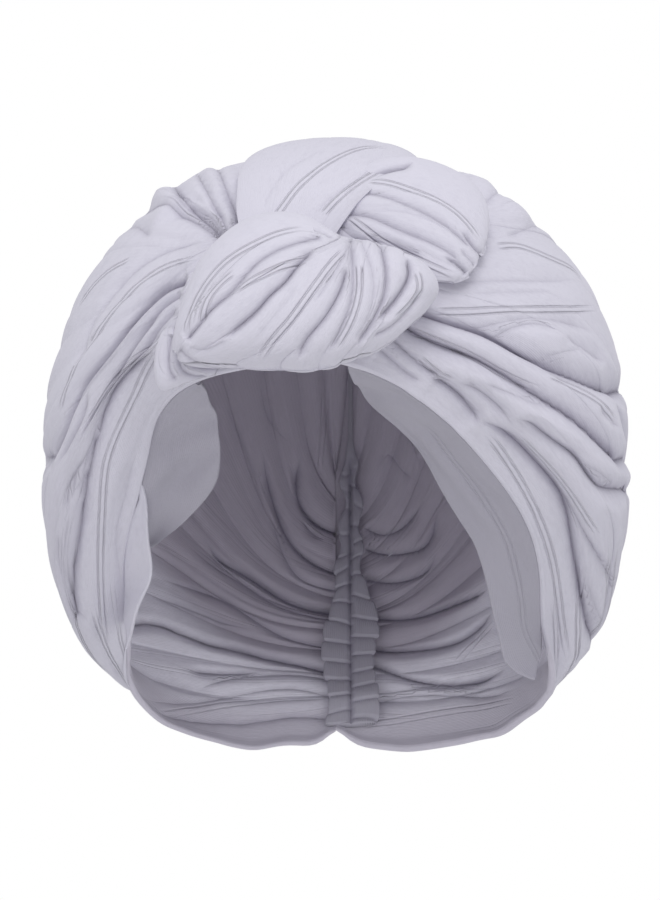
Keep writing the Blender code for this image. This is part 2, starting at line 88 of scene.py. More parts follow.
# Creases between the folds of a panel. lane: where the crease lies at the knot, the side
# and the seam. depth: in millimetres, at the same places. lap: 1 where the upper fold laps
# over the lower one, -1 where the lower one laps over, 0 where they meet evenly.
CREASE_STATIONS = (0.14, 0.55, 1.0)
LEFT_CREASES = (
    {"lane": (0.06, 0.10, 0.10), "depth": (1.2, 1.2, 1.5), "lap": 0.0},
    {"lane": (0.24, 0.23, 0.19), "depth": (4.0, 4.0, 4.5), "lap": -0.6},
    {"lane": (0.40, 0.42, 0.30), "depth": (4.5, 4.5, 4.5), "lap": 0.7},
    {"lane": (0.54, 0.58, 0.42), "depth": (4.0, 4.0, 4.5), "lap": -0.7},
    {"lane": (0.65, 0.69, 0.55), "depth": (4.5, 3.5, 4.5), "lap": 0.6},
    {"lane": (0.75, 0.78, 0.67), "depth": (4.0, 3.5, 4.5), "lap": -0.6},
    {"lane": (0.84, 0.86, 0.76), "depth": (4.5, 3.5, 4.5), "lap": 0.6},
    {"lane": (0.89, 0.91, 0.84), "depth": (5.5, 5.5, 4.5), "lap": -0.5},
    {"lane": (0.93, 0.945, 0.91), "depth": (4.5, 4.5, 4.0), "lap": 0.5},
    {"lane": (0.965, 0.97, 0.96), "depth": (3.0, 2.0, 3.0), "lap": 0.0},
)
RIGHT_CREASES = (
    {"lane": (0.06, 0.09, 0.10), "depth": (1.0, 1.5, 1.5), "lap": 0.0},
    {"lane": (0.20, 0.20, 0.19), "depth": (4.5, 5.0, 4.5), "lap": 0.7},
    {"lane": (0.32, 0.35, 0.30), "depth": (5.5, 6.0, 4.5), "lap": 0.9},
    {"lane": (0.43, 0.49, 0.42), "depth": (5.0, 6.0, 4.5), "lap": 0.9},
    {"lane": (0.55, 0.61, 0.55), "depth": (3.0, 3.0, 4.5), "lap": 0.4},
    {"lane": (0.66, 0.73, 0.67), "depth": (3.5, 3.5, 4.5), "lap": -0.5},
    {"lane": (0.78, 0.83, 0.76), "depth": (4.0, 4.5, 4.5), "lap": 0.6},
    {"lane": (0.86, 0.885, 0.84), "depth": (4.0, 4.5, 4.5), "lap": -0.6},
    {"lane": (0.93, 0.94, 0.91), "depth": (4.0, 3.5, 4.0), "lap": 0.5},
    {"lane": (0.965, 0.97, 0.96), "depth": (2.5, 2.0, 3.0), "lap": 0.0},
)
PANELS = {
    "left_panel": {
        "side": -1, "lanes": LEFT_LANES, "drawn_in": LEFT_DRAWN_IN, "creases": LEFT_CREASES,
    },
    "right_panel": {
        "side": 1, "lanes": RIGHT_LANES, "drawn_in": RIGHT_DRAWN_IN, "creases": RIGHT_CREASES,
    },
}

# Courses: creases and sewn line pairs where they are seen from the front. Places are in
# steps of the front view, counted to the right and down. A crease has its depth and its
# widths to the left and right of its way in millimetres, and the shares of its way over
# which it fades in and out. One with a negative depth is a raised roll instead.
VIEW_DISTANCE = 1.5
VIEW_STEP = 0.000345
VIEW_MIDDLE = (336, 455)
LEFT_COURSES = (
    (2.2, 1.2, 1.6, 0.0, 0.3, ((221, 230), (209, 214), (191, 206), (166, 203))),
    (3.8, 2.2, 1.1, 0.0, 0.1, ((184, 277), (165, 283), (150, 294), (125, 321), (102, 352), (78, 384),
         (60, 425), (46, 457))),
    (3.2, 1.4, 2.2, 0.0, 0.3, ((178, 291), (160, 303), (147, 318), (133, 338), (117, 364), (98, 398),
         (84, 425), (72, 456))),
    (2.6, 1.8, 1.4, 0.0, 0.3, ((172, 308), (155, 327), (146, 343), (135, 358), (118, 378),
         (101, 406), (92, 432))),
    (4.0, 1.1, 2.6, 0.1, 0.1, ((154, 346), (128, 380), (117, 396), (108, 418), (99, 447), (91, 480),
         (86, 515), (81, 550), (77, 585), (79, 625))),
    (2.4, 2.0, 2.0, 0.3, 0.3, ((104, 410), (92, 450), (80, 470), (65, 492), (55, 512))),
    (2.2, 2.0, 2.0, 0.3, 0.3, ((88, 380), (75, 420), (62, 447), (49, 474))),
    (2.0, 2.0, 2.0, 0.3, 0.3, ((97, 462), (80, 487), (68, 502), (58, 518))),
    (1.8, 2.5, 2.5, 0.3, 0.3, ((72, 500), (66, 540), (64, 580), (70, 610))),
    (1.5, 2.0, 2.0, 0.3, 0.3, ((58, 530), (56, 560), (62, 590))),
    (1.3, 2.0, 2.0, 0.2, 0.4, ((138, 450), (126, 500), (118, 532), (119, 565), (124, 600))),
    (1.6, 4.0, 4.0, 0.2, 0.3, ((215, 240), (180, 243), (140, 262), (105, 300), (85, 340))),
    (1.4, 3.0, 3.0, 0.2, 0.3, ((120, 345), (95, 372), (72, 400), (52, 420))),
    (1.2, 2.0, 2.0, 0.3, 0.3, ((110, 290), (90, 322), (78, 350), (66, 372))),
    (3.8, 1.6, 2.4, 0.0, 0.0, ((226, 238), (210, 222), (195, 210), (181, 198))),
    (3.0, 2.0, 2.5, 0.0, 0.1, ((226, 240), (205, 224), (185, 213), (160, 209), (146, 212))),
    (2.6, 1.2, 1.4, 0.0, 0.1, ((229, 238), (219, 214), (209, 196), (202, 184), (196, 174))),
    (2.8, 1.2, 1.2, 0.0, 0.1, ((238, 236), (234, 210), (226, 190), (219, 172))),
    (-5.5, 7.5, 7.5, 0.2, 0.0, ((178, 212), (170, 203), (163, 196))),
    (-4.0, 9.0, 9.0, 0.3, 0.0, ((228, 198), (216, 182), (206, 172))),
    (1.8, 2.0, 2.0, 0.3, 0.1, ((150, 236), (140, 228), (126, 224))),
)
LEFT_LINES = (
    ((196, 258), (168, 264), (142, 279), (116, 305), (98, 328), (72, 362)),
    ((128, 258), (108, 270), (90, 288), (76, 306)),
    ((158, 346), (138, 392), (120, 430), (108, 462), (103, 505), (101, 560), (104, 620), (108, 655)),
    ((168, 322), (150, 345), (122, 366), (96, 400), (80, 432)),
    ((84, 342), (70, 372), (57, 410)),
)
RIGHT_COURSES = (
    (-3.2, 10.0, 10.0, 0.3, 0.3, ((450, 172), (472, 180), (494, 194), (516, 214), (530, 236))),
    (5.0, 3.0, 1.4, 0.0, 0.0, ((418, 308), (455, 321), (490, 332), (515, 345), (545, 360),
         (575, 373), (600, 384), (622, 391))),
    (1.8, 1.6, 1.6, 0.2, 0.3, ((493, 338), (510, 328), (526, 323), (546, 325), (565, 332))),
    (1.8, 1.6, 1.6, 0.3, 0.2, ((563, 330), (576, 339), (590, 347), (602, 356), (612, 362))),
    (1.2, 1.6, 1.6, 0.3, 0.3, ((545, 356), (568, 351), (590, 347))),
    (4.8, 1.6, 3.0, 0.0, 0.0, ((396, 316), (430, 341), (455, 351), (480, 360), (500, 371),
         (520, 383), (545, 397), (570, 410), (595, 428), (615, 447), (626, 458))),
    (1.8, 1.6, 2.0, 0.2, 0.4, ((478, 383), (500, 391), (522, 399), (545, 406), (562, 411))),
    (4.2, 2.0, 3.4, 0.2, 0.0, ((512, 418), (532, 428), (548, 440), (565, 450), (580, 460),
         (592, 476), (604, 487), (629, 489))),
    (1.8, 1.5, 1.5, 0.3, 0.1, ((582, 461), (600, 471), (622, 486))),
    (1.6, 1.5, 1.5, 0.3, 0.2, ((588, 478), (600, 482), (616, 489))),
    (3.8, 2.6, 2.0, 0.2, 0.2, ((428, 378), (440, 386), (458, 401), (470, 416), (480, 428))),
    (3.2, 1.4, 1.8, 0.0, 0.2, ((388, 334), (404, 352), (420, 367), (433, 376), (448, 380))),
    (2.2, 1.4, 1.4, 0.0, 0.3, ((380, 350), (398, 367), (413, 379), (428, 385))),
    (4.8, 3.4, 1.4, 0.2, 0.1, ((470, 414), (495, 434), (515, 452), (532, 470), (548, 488),
         (560, 506), (569, 540), (577, 580), (584, 612), (592, 648))),
    (2.6, 2.0, 2.0, 0.2, 0.4, ((455, 384), (472, 391), (490, 404), (506, 420), (518, 436))),
    (2.8, 1.8, 3.0, 0.2, 0.1, ((552, 492), (570, 514), (586, 540), (600, 560), (616, 585))),
    (1.8, 1.6, 1.6, 0.3, 0.1, ((598, 552), (610, 567), (622, 580))),
    (1.6, 2.0, 2.0, 0.3, 0.3, ((584, 575), (594, 605), (600, 630))),
    (1.8, 1.8, 1.8, 0.1, 0.1, ((489, 238), (485, 222), (483, 208), (490, 198), (510, 195))),
    (1.4, 2.0, 2.0, 0.3, 0.1, ((505, 236), (520, 230), (538, 224))),
    (1.3, 4.0, 3.0, 0.2, 0.2, ((440, 280), (470, 280), (510, 279), (550, 279), (584, 281))),
    (0.9, 3.0, 3.0, 0.3, 0.3, ((450, 292), (500, 291), (570, 290))),
    (1.5, 2.5, 2.5, 0.2, 0.2, ((440, 316), (475, 324), (505, 320), (540, 317), (575, 322), (606, 338))),
    (1.6, 2.0, 2.0, 0.3, 0.3, ((600, 402), (612, 418), (624, 430))),
    (-1.5, 6.0, 6.0, 0.4, 0.3, ((520, 334), (550, 334), (575, 344))),
)
RIGHT_LINES = (
    ((436, 308), (480, 309), (530, 308), (598, 309)),
    ((497, 245), (516, 244), (538, 251), (562, 262), (577, 272), (583, 284)),
    ((412, 330), (440, 341), (470, 354), (512, 377), (545, 390)),
    ((552, 374), (576, 384), (600, 400), (620, 424)),
    ((486, 436), (508, 466), (528, 498), (544, 534), (554, 570), (560, 612), (563, 655)),
    ((516, 442), (545, 470), (575, 505), (600, 540)),
    ((420, 360), (438, 376), (452, 384)),
)
LOOP_COURSES = (
    (3.4, 2.2, 1.2, 0.0, 0.0, ((320, 234), (300, 239), (280, 246), (262, 256), (248, 268),
         (236, 282), (226, 293), (214, 303), (203, 314), (195, 325), (184, 338))),
    (4.2, 1.1, 2.6, 0.1, 0.2, ((316, 244), (306, 254), (296, 264), (284, 280), (270, 293),
         (260, 305), (250, 316), (238, 327), (226, 337), (214, 343))),
    (1.6, 1.2, 1.2, 0.2, 0.2, ((186, 346), (200, 351), (214, 347), (228, 339))),
    (2.0, 1.6, 1.6, 0.0, 0.2, ((178, 350), (190, 361), (205, 366), (222, 368))),
    (0.9, 3.0, 3.0, 0.2, 0.2, ((298, 280), (284, 304), (268, 322), (254, 342))),
    (3.4, 1.2, 1.8, 0.1, 0.1, ((347, 264), (342, 284), (334, 302), (322, 321), (308, 338), (297, 362))),
    (2.6, 1.2, 1.4, 0.0, 0.1, ((350, 236), (353, 285), (350, 306), (342, 327), (328, 355))),
    (1.6, 1.8, 1.8, 0.0, 0.2, ((358, 234), (370, 262), (374, 285), (372, 305), (364, 326), (352, 344))),
    (3.4, 1.4, 1.8, 0.0, 0.1, ((377, 232), (386, 262), (387, 285), (384, 300), (378, 314),
         (368, 332), (356, 348))),
    (4.4, 1.6, 1.6, 0.12, 0.2, ((408, 254), (411, 272), (405, 289), (396, 302), (386, 314),
         (376, 324))),
    (2.6, 1.6, 1.6, 0.2, 0.1, ((424, 286), (414, 306), (402, 320), (388, 331), (372, 338))),
    (1.8, 1.2, 1.2, 0.0, 0.2, ((314, 229), (325, 231), (334, 239))),
    (1.4, 1.6, 1.6, 0.0, 0.2, ((352, 236), (340, 262), (326, 284), (312, 306))),
)
LOOP_LINES = (
    ((183, 334), (190, 308), (203, 284), (228, 257), (253, 242), (282, 230), (308, 226)),
    ((198, 322), (206, 300), (218, 284), (234, 270)),
    ((306, 257), (285, 264), (262, 274), (245, 282), (231, 292)),
    ((346, 248), (334, 260), (320, 278), (304, 300), (288, 322), (272, 341), (257, 364)),
    ((358, 262), (359, 285), (355, 308), (346, 330), (334, 350)),
    ((418, 270), (420, 290), (410, 306), (396, 320)),
)
BAND_COURSES = (
    (0.9, 2.0, 2.0, 0.1, 0.2, ((312, 218), (325, 202), (345, 187), (362, 176), (382, 165), (400, 158))),
    (0.8, 4.0, 4.0, 0.2, 0.2, ((262, 216), (268, 195), (280, 176), (300, 160), (325, 148))),
)
BAND_LINES = (
    ((268, 226), (283, 205), (296, 188), (312, 173), (330, 161), (350, 151), (372, 146), (392, 147)),
    ((322, 214), (338, 197), (356, 183), (378, 170), (396, 162)),
)
SIDE_COURSES = (
    (4.0, 1.2, 2.6, 0.0, 0.15, ((346, 190), (357, 180), (372, 172), (392, 166), (414, 162))),
    (4.5, 3.0, 3.0, 0.1, 0.2, ((318, 212), (330, 224), (345, 236), (362, 244))),
    (2.6, 1.8, 1.8, 0.0, 0.1, ((342, 190), (360, 190), (380, 193), (405, 202), (428, 213),
         (448, 225), (464, 238), (476, 252))),
    (2.6, 1.8, 1.8, 0.0, 0.1, ((336, 211), (350, 212), (365, 214), (385, 222), (405, 231),
         (430, 241), (450, 252), (464, 265))),
    (2.8, 2.2, 1.6, 0.0, 0.2, ((342, 235), (360, 238), (376, 240), (392, 245), (408, 252), (424, 262))),
    (3.4, 1.2, 1.2, 0.0, 0.4, ((468, 274), (462, 267), (452, 260), (440, 254))),
    (3.4, 1.2, 1.2, 0.0, 0.4, ((484, 256), (476, 246), (468, 236), (458, 228))),
    (2.0, 1.2, 1.2, 0.0, 0.4, ((476, 266), (468, 256), (458, 246))),
)
SIDE_LINES = (
    ((365, 180), (385, 181), (405, 186), (425, 193), (442, 201), (458, 212), (470, 225), (482, 242)),
    ((346, 214), (360, 225), (380, 240), (400, 251), (420, 261), (440, 270), (456, 277)),
)
TUCK_COURSES = (
    (2.4, 1.2, 1.2, 0.0, 0.1, ((170, 334), (167, 352), (168, 370), (176, 382))),
    (2.4, 1.2, 1.2, 0.0, 0.1, ((178, 338), (177, 354), (180, 368), (192, 376), (208, 377))),
    (2.0, 1.2, 1.2, 0.0, 0.1, ((183, 358), (196, 366), (212, 369), (224, 370))),
)
LEFT_INNER_COURSES = (
    (3.0, 1.4, 1.4, 0.2, 0.0, ((302, 455), (297, 478), (300, 503), (309, 517), (325, 528), (344, 533))),
    (1.8, 1.4, 1.4, 0.2, 0.3, ((303, 520), (312, 532), (326, 540))),
    (3.0, 1.4, 1.8, 0.3, 0.0, ((262, 440), (268, 480), (280, 520), (293, 545), (310, 560),
         (330, 570), (346, 574))),
    (1.8, 2.0, 2.0, 0.2, 0.0, ((272, 515), (286, 558), (300, 577), (320, 586), (344, 591))),
    (3.0, 1.2, 2.0, 0.2, 0.0, ((205, 535), (220, 558), (245, 572), (265, 585), (290, 600),
         (315, 608), (342, 612))),
    (1.6, 1.6, 1.6, 0.3, 0.0, ((185, 540), (215, 566), (250, 586), (275, 603), (300, 612), (340, 620))),
    (2.2, 1.6, 2.0, 0.3, 0.0, ((152, 575), (190, 586), (230, 602), (265, 625), (290, 637), (330, 646))),
    (1.8, 1.6, 1.6, 0.3, 0.3, ((150, 592), (175, 601), (205, 613), (225, 621), (255, 628))),
    (3.4, 1.0, 2.4, 0.0, 0.0, ((124, 626), (155, 622), (185, 632), (215, 643), (240, 648),
         (265, 655), (290, 660), (330, 669))),
    (2.6, 1.6, 2.4, 0.3, 0.3, ((180, 664), (205, 668), (240, 670), (270, 670))),
    (1.8, 1.0, 1.6, 0.2, 0.0, ((196, 684), (225, 676), (260, 673), (310, 674), (345, 682))),
    (1.4, 1.2, 1.2, 0.2, 0.0, ((150, 686), (200, 691), (240, 688), (300, 687), (345, 700))),
    (1.8, 1.4, 1.4, 0.2, 0.0, ((160, 698), (210, 708), (260, 712), (300, 712), (345, 722))),
    (1.2, 3.0, 3.0, 0.3, 0.4, ((262, 380), (270, 420), (300, 450))),
    (1.2, 3.0, 3.0, 0.3, 0.4, ((225, 400), (250, 460), (268, 520))),
)
RIGHT_INNER_COURSES = (
    (2.4, 2.4, 2.4, 0.0, 0.3, ((366, 528), (385, 534), (400, 529), (412, 518), (424, 500))),
    (2.8, 2.2, 2.6, 0.0, 0.3, ((366, 548), (386, 553), (405, 552), (425, 545), (434, 528), (436, 505))),
    (2.6, 2.2, 2.6, 0.0, 0.3, ((366, 578), (390, 581), (410, 578), (430, 566), (438, 550))),
    (3.2, 1.2, 2.2, 0.0, 0.1, ((366, 614), (393, 617), (420, 614), (445, 606), (465, 598), (486, 590))),
    (3.2, 1.2, 2.2, 0.0, 0.1, ((366, 645), (385, 648), (410, 648), (430, 646), (455, 640),
         (475, 628), (492, 610))),
    (3.4, 1.0, 2.6, 0.0, 0.2, ((366, 662), (385, 668), (405, 675), (430, 680), (455, 680),
         (476, 676), (504, 664))),
    (1.4, 1.4, 1.4, 0.0, 0.3, ((366, 690), (392, 690), (420, 686), (450, 684), (480, 684), (505, 676))),
    (1.6, 1.0, 1.4, 0.0, 0.2, ((366, 706), (380, 698), (400, 694), (450, 692), (490, 690), (512, 682))),
    (1.2, 3.0, 3.0, 0.3, 0.4, ((380, 395), (405, 430), (425, 480))),
    (1.4, 2.0, 2.0, 0.3, 0.3, ((378, 470), (388, 455), (402, 470), (420, 482))),
)
RIGHT_INNER_LINES = (
    ((366, 722), (400, 716), (440, 710), (480, 702), (510, 694)),
    ((455, 660), (475, 640), (492, 622)),
)
LEFT_INNER_LINES = (
    ((170, 700), (220, 696), (270, 694), (330, 696)),
    ((320, 470), (324, 430), (326, 390)),
)
COURSES = {
    "left_panel_inside": (LEFT_INNER_COURSES, LEFT_INNER_LINES),
    "right_panel_inside": (RIGHT_INNER_COURSES, RIGHT_INNER_LINES),
    "left_panel": (LEFT_COURSES, LEFT_LINES),
    "right_panel": (RIGHT_COURSES, RIGHT_LINES),
    "knot_loop": (LOOP_COURSES, LOOP_LINES),
    "knot_band": (BAND_COURSES, BAND_LINES),
    "knot_side_band": (SIDE_COURSES, SIDE_LINES),
    "knot_tuck": (TUCK_COURSES, ()),
}
RUN_ON = 0.070  # how far back a course runs on past the side of the hat
RUNS_ON_UNDER = 0.15  # a course that fades out over less than this share runs on
RUN_ON_PLACES = 30
CREASE_REACH = 0.024  # how far off its course a crease has any effect, and a sewn line
LINE_REACH = 0.016
CUSP_SHARE = 0.65  # what part of a crease's dent is its sharp cusp; the rest is a broad bell
BROAD_BELL = 0.0065
INNER_BELL = 0.004
KNOT_BELL = 0.0035
OUTER_DEPTH = 1.15  # how deep a panel's drawn creases are, as a share of what is stated
KNOT_DEPTH = 0.58  # and how deep the knot's are
NO_LINE_NEAR = 0.006  # distance in a mark where there is no line
LINE_MARK_FADES = (0.0028, 0.0016)  # distances at which a line's mark is gone, and full
FOLD_MARK_FADES = (0.0023, 0.0010)
FRONT_SHARE = 0.22  # what the even creases keep of their depth where courses are drawn
EVEN_FROM = (0.42, 0.60)  # stations over which the even creases come back in full

# Folds
DEEPEST_FOLD = 0.0055
FOLD_SHARE = 0.36  # the deepest that a crease may be, as a share of the fold beside it
INNER_FOLD = 0.0034
INNER_FOLD_SHARE = 0.42
INNER_SHARE = 0.65  # what the inner folds keep of their depth beside the courses
LAP_OVERHANG = 0.0020
LAP_PLACE = 0.10  # share of the fold at which a lap's hump is highest
ROUNDNESS = 3.4  # power of a fold's rounding; higher is squarer, with narrower creases
NARROWEST_FOLD = 0.004  # width below which a fold counts as this wide, for its lap
LEAST_WALL = 0.0011  # thickness of cloth that an outer crease leaves
LESSER_CREASES = 5  # seeded lesser creases in each outer fold, and their greatest depth
LESSER_DEPTH = 1.5 * MM
RIPPLES = 34  # fine gathers across a panel near the knot and the seam
RIPPLE_DEPTH = 0.7 * MM
SLOW_DRIFT = 0.45 * MM
SEAM_DENT = 1.4 * MM  # depth and width of the dent along the panels' joins
SEAM_WIDTH = 0.0022

# Painted shade and light of the inside, and its sewn lines
HEM_SHADE = 0.55  # how far the hem's own edge at the nape is towards the inner colour, as painted shade
HEM_LIGHT_SHARE = 0.52  # how far the turned-up hem at the nape is lifted from the painted inner shade towards the outer colour, where the front light reaches it
INNER_FOLD_MARK = 1.7  # how much stronger the painted shade along the inner creases is than along the outer ones
INNER_LINE_MARK = 0.55

# How far the cloth stands out low down, in millimetres, at stations: at the rim, and above it
FULL_STATIONS = (0.46, 0.54, 0.60, 0.66, 0.70, 0.74, 0.78, 0.82, 0.86, 0.90, 0.94, 1.0)
FULLNESS = {
    "left_panel": ((0, 0, 0, 1.0, 2.5, 4.5, 5.5, 5.5, 5.8, 5.4, 2.6, 0),
                   (0, 0, 0, 0.8, 2.0, 3.5, 3.5, 3.0, 2.0, 1.0, 0.5, 0)),
    "right_panel": ((0, 0, 0.5, 2.5, 4.0, 5.0, 4.8, 3.2, 1.6, 1.0, 1.4, 0),
                    (0, 1.5, 3.8, 5.5, 5.5, 5.0, 4.0, 3.0, 2.0, 1.0, 0.5, 0)),
}

# How finely a panel's grids are cut, and the sizes of its cloth
PANEL_ROWS = 238
PANEL_COLUMNS = 196
HEM_ROWS = 5
CLOTH_WIDTH = 0.170  # mean size of a panel across and along its folds, for the UV map
CLOTH_LENGTH = 0.300


def smooth(x, start, end):
    """Eased step from 0 at start to 1 at end: three squares less two cubes."""
    x = np.clip((x - start) / (end - start), 0, 1)
    return x * x * (3 - 2 * x)


def unit(vectors):
    return vectors / np.maximum(np.linalg.norm(vectors, axis=-1, keepdims=True), 1e-12)


def spline_weights(knots, at):
    """Each knot's share in a natural cubic spline read at the places `at`."""
    knots, at = np.asarray(knots, float), np.asarray(at, float)
    count, step = len(knots), np.diff(knots)
    rows, slopes = np.eye(count), np.zeros((count, count))
    for i in range(1, count - 1):
        before, after = step[i - 1], step[i]
        rows[i, i - 1 : i + 2] = before, 2 * (before + after), after
        slopes[i, i - 1 : i + 2] = 6 / before, -6 / before - 6 / after, 6 / after
    bend, shares = np.linalg.solve(rows, slopes), np.eye(count)
    i = np.clip(np.searchsorted(knots, at, side="right") - 1, 0, count - 2)
    span = step[i][..., None]
    past = (at - knots[i])[..., None]
    left = (knots[i + 1] - at)[..., None]
    return (
        bend[i] * (left**3 / span - span * left) / 6
        + bend[i + 1] * (past**3 / span - span * past) / 6
        + (shares[i] * left + shares[i + 1] * past) / span
    )


def compass(azimuth, height, side=1):
    """Unit vector at an azimuth from the front, to the given side, and a height angle."""
    azimuth, height = np.radians(azimuth), np.radians(height)
    flat = np.cos(height)
    return np.stack(
        [side * flat * np.sin(azimuth), -flat * np.cos(azimuth), np.sin(height)], -1
    )


def reach(direction):
    """Distance from the origin to the envelope: one over the root of the summed powers of
    each coordinate over its half size, deeper at the back and squarer below."""
    x, y, z = np.moveaxis(direction, -1, 0)
    low = smooth(z, 0.25, -0.35)
    deep = FRONT_REACH + (BACK_REACH - FRONT_REACH) * smooth(y, -0.35, 0.35)
    tall = TOP_REACH + (BOTTOM_REACH - TOP_REACH) * low
    power = TOP_ROUNDNESS + (BOTTOM_ROUNDNESS - TOP_ROUNDNESS) * low
    total = (
        abs(x / HALF_WIDTH) ** power + abs(y / deep) ** power + abs(z / tall) ** power
    )
    return total ** (-1 / power)


def taper(points):
    """Draws the lower back in towards the neck."""
    share = smooth(points[..., 2], 0.0, -0.1) * smooth(points[..., 1], -0.02, 0.05)
    points[..., 1] *= 1 - NAPE_TAPER * share
    return points


def envelope(panel, s, t):
    """Points of a panel's envelope: the lanes' directions blended by splines across and
    along, times the reach, with the front edge drawn in by an exponential of the lane."""
    plan = PANELS[panel]
    table = np.array(plan["lanes"], float)
    along = spline_weights(STATIONS, t)
    across = spline_weights(LANES, s)
    marks = compass(table[..., 0], table[..., 1], plan["side"])
    direction = unit(np.einsum("...l,...k,lkc->...c", across, along, marks))
    roll = np.exp(-((np.maximum(s, 0) / EDGE_ROLL) ** 1.5))
    pull = (along @ np.array(plan["drawn_in"])) * roll
    return taper((reach(direction) * (1 - pull))[..., None] * direction)


def outward(panel, s, t):
    """Unit normals of the envelope, kept in the middle plane along the panel's joins."""
    small = 0.004
    s_low, s_high = np.clip(s - small, 0, 1), np.clip(s + small, 0, 1)
    t_low, t_high = np.clip(t - small, 0, 1), np.clip(t + small, 0, 1)
    down_s = envelope(panel, s_high, t) - envelope(panel, s_low, t)
    down_t = envelope(panel, s, t_high) - envelope(panel, s, t_low)
    normal = unit(np.cross(down_t, down_s)) * PANELS[panel]["side"]
    near_join = [smooth(s, 0.97, 1.0), smooth(t, 0.03, 0.0), smooth(t, 0.97, 1.0)]
    normal[..., 0] *= 1 - np.maximum.reduce(near_join)
    return unit(normal)


def drift(seed, a, b, scale_a, scale_b, terms=7):
    """Smooth seeded noise of two parameters in about -1 to 1: a sum of sine waves."""
    rng = np.random.default_rng(seed)
    total = np.zeros(np.broadcast(a, b).shape)
    for _ in range(terms):
        wave_a, wave_b = rng.uniform(0.35, 1.0, 2) * rng.choice([-1, 1], 2)
        phase = rng.uniform(0, 2 * np.pi)
        total += np.sin(2 * np.pi * (wave_a * a / scale_a + wave_b * b / scale_b) + phase)
    return total / terms**0.5 / 1.2


def front_view(points):
    """Places of points in the front view, in its steps to the right and down."""
    scale = VIEW_DISTANCE / (VIEW_DISTANCE + points[..., 1]) / VIEW_STEP
    return np.stack([VIEW_MIDDLE[0] + points[..., 0] * scale,
                     VIEW_MIDDLE[1] - points[..., 2] * scale], -1)


def course_places(course, seen, points, normals):
    """Points and normals along a course, laid on the surface behind its places. The places
    are joined by a cubic spline over their chord lengths. Each is moved from the nearest
    point of the surface along the plane that touches it there, then smoothed in depth."""
    course = np.array(course, float)
    chord = np.concatenate([[0], np.cumsum(np.linalg.norm(np.diff(course, axis=0), axis=1))])
    sample = np.linspace(0, chord[-1], max(int(chord[-1] / 3), 4))
    wanted = spline_weights(chord, sample) @ course
    nearest = np.array([np.argmin(np.sum((seen - place) ** 2, axis=1)) for place in wanted])
    found = points[nearest].copy()
    step = (wanted - seen[nearest]) * VIEW_STEP * (1 + found[:, 1:2] / VIEW_DISTANCE)
    slope = normals[nearest]
    level = slope[:, 0] * step[:, 0] - slope[:, 2] * step[:, 1]
    found[:, 0] += step[:, 0]
    found[:, 2] -= step[:, 1]
    found[:, 1] += np.clip(level / np.maximum(-slope[:, 1], 0.05), -2 * MM, 2 * MM)
    padded = np.pad(found[:, 1], 2, mode="edge")
    found[:, 1] = np.convolve(padded, np.full(5, 0.2), mode="valid")
    return found, normals[nearest]


def course_offset(places, normals, points):
    """Signed distance of every point from a course, positive to the left of its way as seen
    from outside, and its share of the way along the course."""
    way = unit(np.gradient(places, axis=0))
    left = unit(np.cross(normals, way))
    gap = np.linalg.norm(points[:, None] - places[None], axis=-1)
    nearest = np.argmin(gap, axis=1)
    gap = gap.min(axis=1)
    off = points - places[nearest]
    ahead = np.sum(off * way[nearest], axis=-1)
    inner = (nearest > 0) & (nearest < len(places) - 1)
    distance = np.where(inner, np.sqrt(np.maximum(gap**2 - ahead**2, 0)), gap)
    step = np.linalg.norm(places[1] - places[0])
    share = (nearest + np.clip(ahead / step, -0.5, 0.5)) / (len(places) - 1)
    side = np.sign(np.sum(off * left[nearest], axis=-1))
    return distance * np.where(side == 0, 1, side), share


def near_course(places, normals, points, within):
    """Which points a course can reach, and their offsets from it and shares of its way."""
    gap = np.abs(points[:, None] - places[None, ::4]).max(axis=-1)
    near = np.min(gap, axis=1) < within
    offset, share = course_offset(places, normals, points[near])
    return near, offset, share


def run_behind(place):
    """Places and normals past a course's end, straight back round the side of the hat."""
    back = np.linspace(0.002, RUN_ON, RUN_ON_PLACES)
    ahead = unit(place + np.stack([back * 0, back, back * 0], -1))
    return taper(reach(ahead)[:, None] * ahead), ahead


def drawn_creases(creases, points, shown, run_on, deep, broad):
    """Dent of every point, its signed distance from the nearest crease, and the strength of the
    shade painted along that crease. A dent falls off as an exponential of the distance over the
    crease's width on each side, with a broad bell below it. Where dents meet, the deepest counts."""
    dent, raised = np.zeros(len(points)), np.zeros(len(points))
    off, on = np.full(len(points), NO_LINE_NEAR), np.zeros(len(points))
    for depth, left, right, fade_in, fade_out, course in creases:
        places, ups = course_places(course, *shown)
        count = len(places)
        if run_on is not None and fade_out < RUNS_ON_UNDER:
            more, more_ups = run_on(places[-1])
            places, ups = np.concatenate([places, more]), np.concatenate([ups, more_ups])
            fade_out = len(more) / len(places)
        fade_in = fade_in * count / len(places)
        near, offset, share = near_course(places, ups, points, CREASE_REACH)
        width = np.where(offset > 0, left, right) * MM
        strength = smooth(share, -0.01, fade_in + 0.01) * smooth(share, 1.01, 0.99 - fade_out)
        if depth < 0:
            raised[near] += depth * MM * strength * np.exp(-((offset / width) ** 2))
            continue
        cusp, bell = np.exp(-np.abs(offset) / width), np.exp(-((offset / broad) ** 2))
        fall = CUSP_SHARE * cusp + (1 - CUSP_SHARE) * bell
        dent[near] = np.maximum(dent[near], deep * depth * MM * fall * strength)
        rank = np.abs(offset) - 0.3 * MM * depth * strength
        closer = rank < np.abs(off[near]) - 1.5 * MM * on[near]
        off[near] = np.where(closer, offset, off[near])
        on[near] = np.where(closer, strength * min(depth / 5, 1), on[near])
    return dent + raised, off, on * smooth(np.abs(off), *FOLD_MARK_FADES)


